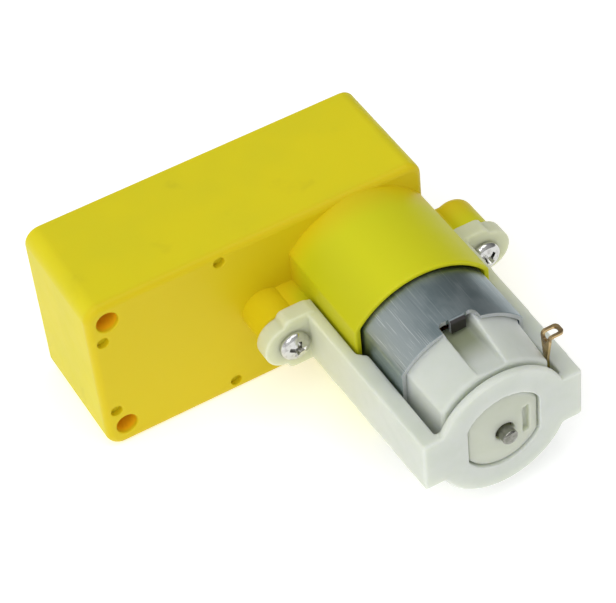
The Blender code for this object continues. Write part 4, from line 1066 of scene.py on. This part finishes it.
def make_end_bell():
    """The nylon end bell that closes the can and carries the brushes and the rear bearing."""
    plug, mouth, rear = [flatted_circle(*size, BELL_CORNER)
                         for size in (BELL_PLUG, BELL_MOUTH, BELL_REAR)]
    rim_y = CAN_Y[0]
    body = loft([(plug, rim_y + 2.2), (plug, rim_y + 0.1), (mouth, rim_y - 0.1),
                 (rear, BELL_REAR_Y + 0.3), (inset_outline(rear, 0.3), BELL_REAR_Y)])
    boss_outline = flatted_circle(*BELL_BOSS, 0.3)
    boss = loft([([(x * share, z * share) for x, z in boss_outline], BELL_FACE_Y + drop)
                 for share, drop in BELL_CROWN] + [(boss_outline, BELL_REAR_Y + 1)])
    hollow = prism(flatted_circle(*BELL_HOLLOW, BELL_CORNER), BELL_REAR_Y + 2.4, rim_y + 4)
    pocket = rod(BEARING_SEAT_RADIUS, BEARING_SEAT_Y, BELL_REAR_Y + 4, 48)
    hole = circle(BELL_SHAFT_HOLE_RADIUS, 40)
    shaft_hole = flared_cutter(hole, BELL_FACE_Y, BEARING_SEAT_Y + 1, 0.1)
    slot = block(*SLOT_X, BELL_FACE_Y - 1, BELL_FACE_Y + SLOT_DEPTH, *SLOT_Z)
    cut = [hollow, pocket, shaft_hole, slot]
    tag_y = span("terminal_right")[1]
    for side in (-1, 1):
        cut.append(bell_groove(side))
        x_low, x_high = ordered(side * 5.2, side * 8)
        z_low, z_high = ordered(side * 0.4, side * 1.2)
        cut.append(block(x_low, x_high, tag_y[0] - 0.15, tag_y[1] + 0.15, z_low, z_high))
    piece = build("motor_end_bell_fine", body, [boss], cut)
    soften(piece, BELL_VOXEL)
    move(piece, MOTOR_AXIS)
    place(piece, BELL_NYLON, BODY, ["motor_end_bell"], NYLON_SHARP_ANGLE)


def bell_groove(side):
    """A groove along the bell's round top or bottom, deepest beside the can, with a slanted wall."""
    sections = []
    for y, floor in ((CAN_Y[0] + 3, 8.0), (CAN_Y[0] - 1.2, 8.0), (BELL_REAR_Y - 0.5, 8.9)):
        outline = [(-2.1, floor), (1.5, floor), (2.6, 11), (-2.1, 11)]
        sections.append(([(x, side * z) for x, z in outline], y))
    return loft(sections)


def make_tags():
    """Solder tags: the right one is bent through its eye, out over the bracket's arm."""
    y_low, y_high = span("terminal_right")[1]
    half = (y_high - y_low) / 2
    tip = span("terminal_right")[0][1] - AXIS_X
    eye = TAG_EYE_HALF_WIDTH
    x, z = TAG_ROOT
    bent = [(x, z), (TAG_LEG_X, z), (TAG_LEG_X, TAG_TOP_Z), (tip, TAG_TOP_Z)]
    straight = [(-x, -z), (-TAG_LEG_X, -z), (-TAG_LEG_X, LEFT_TAG_END_Z)]
    right_cuts = [leg_wedge(side, half) for side in (-1, 1)]
    right_cuts += [tip_corner(side, tip, half) for side in (-1, 1)]
    eye_in_tip = rounded_rectangle(6.9, tip - 0.45, -eye, eye, 0.2, 0.4)
    eye_in_leg = rounded_rectangle(-eye, eye, 7.95, 8.9, 0.4, 0.4)
    right_cuts += [upright(eye_in_tip, 8.3, 9.6), sideways(eye_in_leg, 6.9, TAG_LEG_X + 0.4)]
    left_cuts = [sideways(circle(LEFT_TAG_EYE_RADIUS, 32, (0.0, LEFT_TAG_EYE_Z)), -9, -7)]
    for name, route, cuts in (("terminal_right", bent, right_cuts),
                              ("terminal_left", straight, left_cuts)):
        outline = strip_outline(rounded_route(route, TAG_BEND_RADIUS), TAG_THICKNESS)
        piece = build(name + "_fine", prism(outline, -half, half), [], cuts)
        bevel = piece.modifiers.new("edges", "BEVEL")
        bevel.width = 0.05
        bevel.segments = 2
        bevel.limit_method = "ANGLE"
        apply_modifiers(piece)
        move(piece, MOTOR_AXIS, (y_low + y_high) / 2)
        place(piece, BRASS, BODY, [name])


def leg_wedge(side, half):
    """What is cut from one edge of a tag's leg, so that it narrows downwards to a neck."""
    neck = TAG_NECK / 2
    outline = [(neck, -1.0), (half + 1, -1.0), (half + 1, 8.1), (half + 0.01, 8.1), (neck, 5.4)]
    return sideways([(side * y, z) for y, z in outline], 6.0, TAG_LEG_X + 0.5)


def tip_corner(side, tip, half):
    """What is cut from one corner of a tag's tip to round it."""
    x, y = tip - TAG_TIP_RADIUS, half - TAG_TIP_RADIUS
    outline = arc(x, y, TAG_TIP_RADIUS, 0.0, pi / 2, 8)
    outline += [(x, half + 1), (tip + 1, half + 1), (tip + 1, y)]
    return upright([(x, side * y) for x, y in outline], TAG_TOP_Z - 1, TAG_TOP_Z + 1)


def strip_outline(route, thickness):
    """The outline of a bent strip of constant thickness that follows a route."""
    upper = []
    lower = []
    for i, point in enumerate(route):
        before = route[max(i - 1, 0)]
        after = route[min(i + 1, len(route) - 1)]
        along = unit(after[0] - before[0], after[1] - before[1])
        offset = (-along[1] * thickness / 2, along[0] * thickness / 2)
        upper.append((point[0] + offset[0], point[1] + offset[1]))
        lower.append((point[0] - offset[0], point[1] - offset[1]))
    return lower + upper[::-1]


# ---- shafts

def make_rotor_shaft():
    """Ground steel shaft with chamfered ends."""
    y_low, y_high = span("rotor_shaft")[1]
    radius = (span("rotor_shaft")[0][1] - span("rotor_shaft")[0][0]) / 2
    profile = [(0, y_low)]
    for step in range(1, 8):
        angle = step * pi / 14
        profile.append((radius * sin(angle), y_low + 0.4 * (1 - cos(angle))))
    profile += [(radius, y_high - 0.28), (radius - 0.28, y_high), (0, y_high)]
    piece = new_object("rotor_shaft_fine", at(MOTOR_AXIS, turned(profile, 48)))
    place(piece, SHAFT_STEEL, "rotor", ["rotor_shaft"])


def make_output_shaft():
    """The output shaft: round in its collar, with double-D ends and a centre hole."""
    y_low, y_high = span("output_shaft")[1]
    radius = OUTPUT_RADIUS
    journal = OUTPUT_JOURNAL_RADIUS
    profile = [(0, y_low), (journal, y_low), (journal, OUTPUT_HUB_Y), (radius, OUTPUT_HUB_Y),
               (radius, y_high - 0.4), (radius - 0.12, y_high - 0.16), (radius - 0.4, y_high),
               (0, y_high)]
    hole = circle(OUTPUT_SCREW_HOLE_RADIUS, 32)
    cut = [flared_cutter(hole, y_high, y_high - OUTPUT_SCREW_HOLE_DEPTH, 0.15)]
    collar_y = span("gearbox_cover")[1][1]
    for y_from, y_to in ((OUTPUT_HUB_Y - 0.5, OUTPUT_ROUND_Y), (collar_y + 0.3, y_high + 1)):
        cut.append(block(OUTPUT_FLAT, 4, y_from, y_to, -4, 4))
        cut.append(block(-4, -OUTPUT_FLAT, y_from, y_to, -4, 4))
    piece = build("output_shaft_fine", turned(profile), [], cut)
    move(piece, OUTPUT_AXIS)
    place(piece, SHAFT_NYLON, "output", ["output_shaft"])


def finish_inner_nodes():
    """The CAD parts whose own shape is right keep it, and get a better material."""
    finishes = {
        "axle_pin": SHAFT_STEEL, "bearing": SHADOWED_BRONZE, "motor_pinion": BRONZE, "brush": COPPER,
        "commutator": COPPER, "magnet": FERRITE, "armature_core": CORE_STEEL,
        "armature_coil": WIRE, "_gear": GEAR_NYLON,
    }
    for name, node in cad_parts.items():
        for word, material in finishes.items():
            if word in name and not name.startswith("gearbox"):
                for index in range(len(node.data.materials)):
                    node.data.materials[index] = material


# ---- camera, stage and light

def make_camera():
    target = Vector(TARGET) * MM
    level = Vector((sin(CAMERA_HEADING), cos(CAMERA_HEADING), 0.0))
    forward = level * cos(CAMERA_ELEVATION) - Vector((0, 0, sin(CAMERA_ELEVATION)))
    right = forward.cross(Vector((0, 0, 1))).normalized()
    up = right.cross(forward)
    rolled_up = up * cos(CAMERA_ROLL) + right * sin(CAMERA_ROLL)
    rolled_right = right * cos(CAMERA_ROLL) - up * sin(CAMERA_ROLL)
    data = bpy.data.cameras.new("camera")
    data.lens = CAMERA_LENS
    data.sensor_width = SENSOR_WIDTH
    data.sensor_fit = "HORIZONTAL"
    data.clip_start = 0.01
    data.clip_end = 10.0
    camera = linked("camera", data)
    rotation = Matrix((rolled_right, rolled_up, -forward)).transposed().to_4x4()
    camera.matrix_world = Matrix.Translation(target - forward * CAMERA_DISTANCE * MM) @ rotation
    bpy.context.scene.camera = camera


def make_floor():
    """A pale light table: a matt white sheet that glows a little, so shadows stay faint."""
    bm = bmesh.new()
    half = 1.5
    bm.faces.new([bm.verts.new((x, y, 0)) for x, y in rectangle(-half, half, -half, half)])
    floor = new_object("floor", bm)
    sheet = Finish("floor_white")
    fill(sheet.shader, Base_Color=(0.86, 0.86, 0.86, 1.0), Roughness=0.9, Specular_IOR_Level=0.0,
         Emission_Color=(1.0, 1.0, 1.0, 1.0), Emission_Strength=0.42)
    floor.data.materials.append(sheet.material)


def make_world():
    """A white studio sky, brightest at the front left and darkest at the back right."""
    world = bpy.data.worlds.new("studio")
    bpy.context.scene.world = world
    world.use_nodes = True
    tree = world.node_tree
    background = tree.nodes["Background"]
    fill(background, Color=(1.0, 1.0, 1.0, 1.0))
    coordinates = tree.nodes.new("ShaderNodeTexCoord")
    side = tree.nodes.new("ShaderNodeVectorMath")
    side.operation = "DOT_PRODUCT"
    side.inputs[1].default_value = (-0.85, -0.15, 0.0)
    tree.links.new(coordinates.outputs["Generated"], side.inputs[0])
    shade = tree.nodes.new("ShaderNodeMapRange")
    fill(shade, From_Min=-0.8, From_Max=0.6, To_Min=0.20, To_Max=0.85)
    tree.links.new(side.outputs["Value"], shade.inputs["Value"])
    tree.links.new(shade.outputs["Result"], background.inputs["Strength"])


def make_light(name, place_mm, size_mm, power):
    data = bpy.data.lights.new(name, "AREA")
    data.shape = "SQUARE"
    data.size = size_mm * MM
    data.energy = power
    lamp = linked(name, data)
    lamp.location = Vector(place_mm) * MM
    aim = Vector((0, 0, 10)) * MM - lamp.location
    lamp.rotation_euler = aim.to_track_quat("-Z", "Y").to_euler()


def make_stage():
    make_floor()
    make_world()
    make_light("key_softbox", (-260, -220, 420), 300, 0.6)
    make_light("top_softbox", (60, -60, 520), 320, 0.55)
    bpy.context.scene.view_settings.view_transform = "Standard"


make_camera()
make_stage()
make_housing()
make_cover()
make_screws()
make_bracket()
make_can()
make_end_bell()
make_tags()
make_rotor_shaft()
make_output_shaft()
finish_inner_nodes()
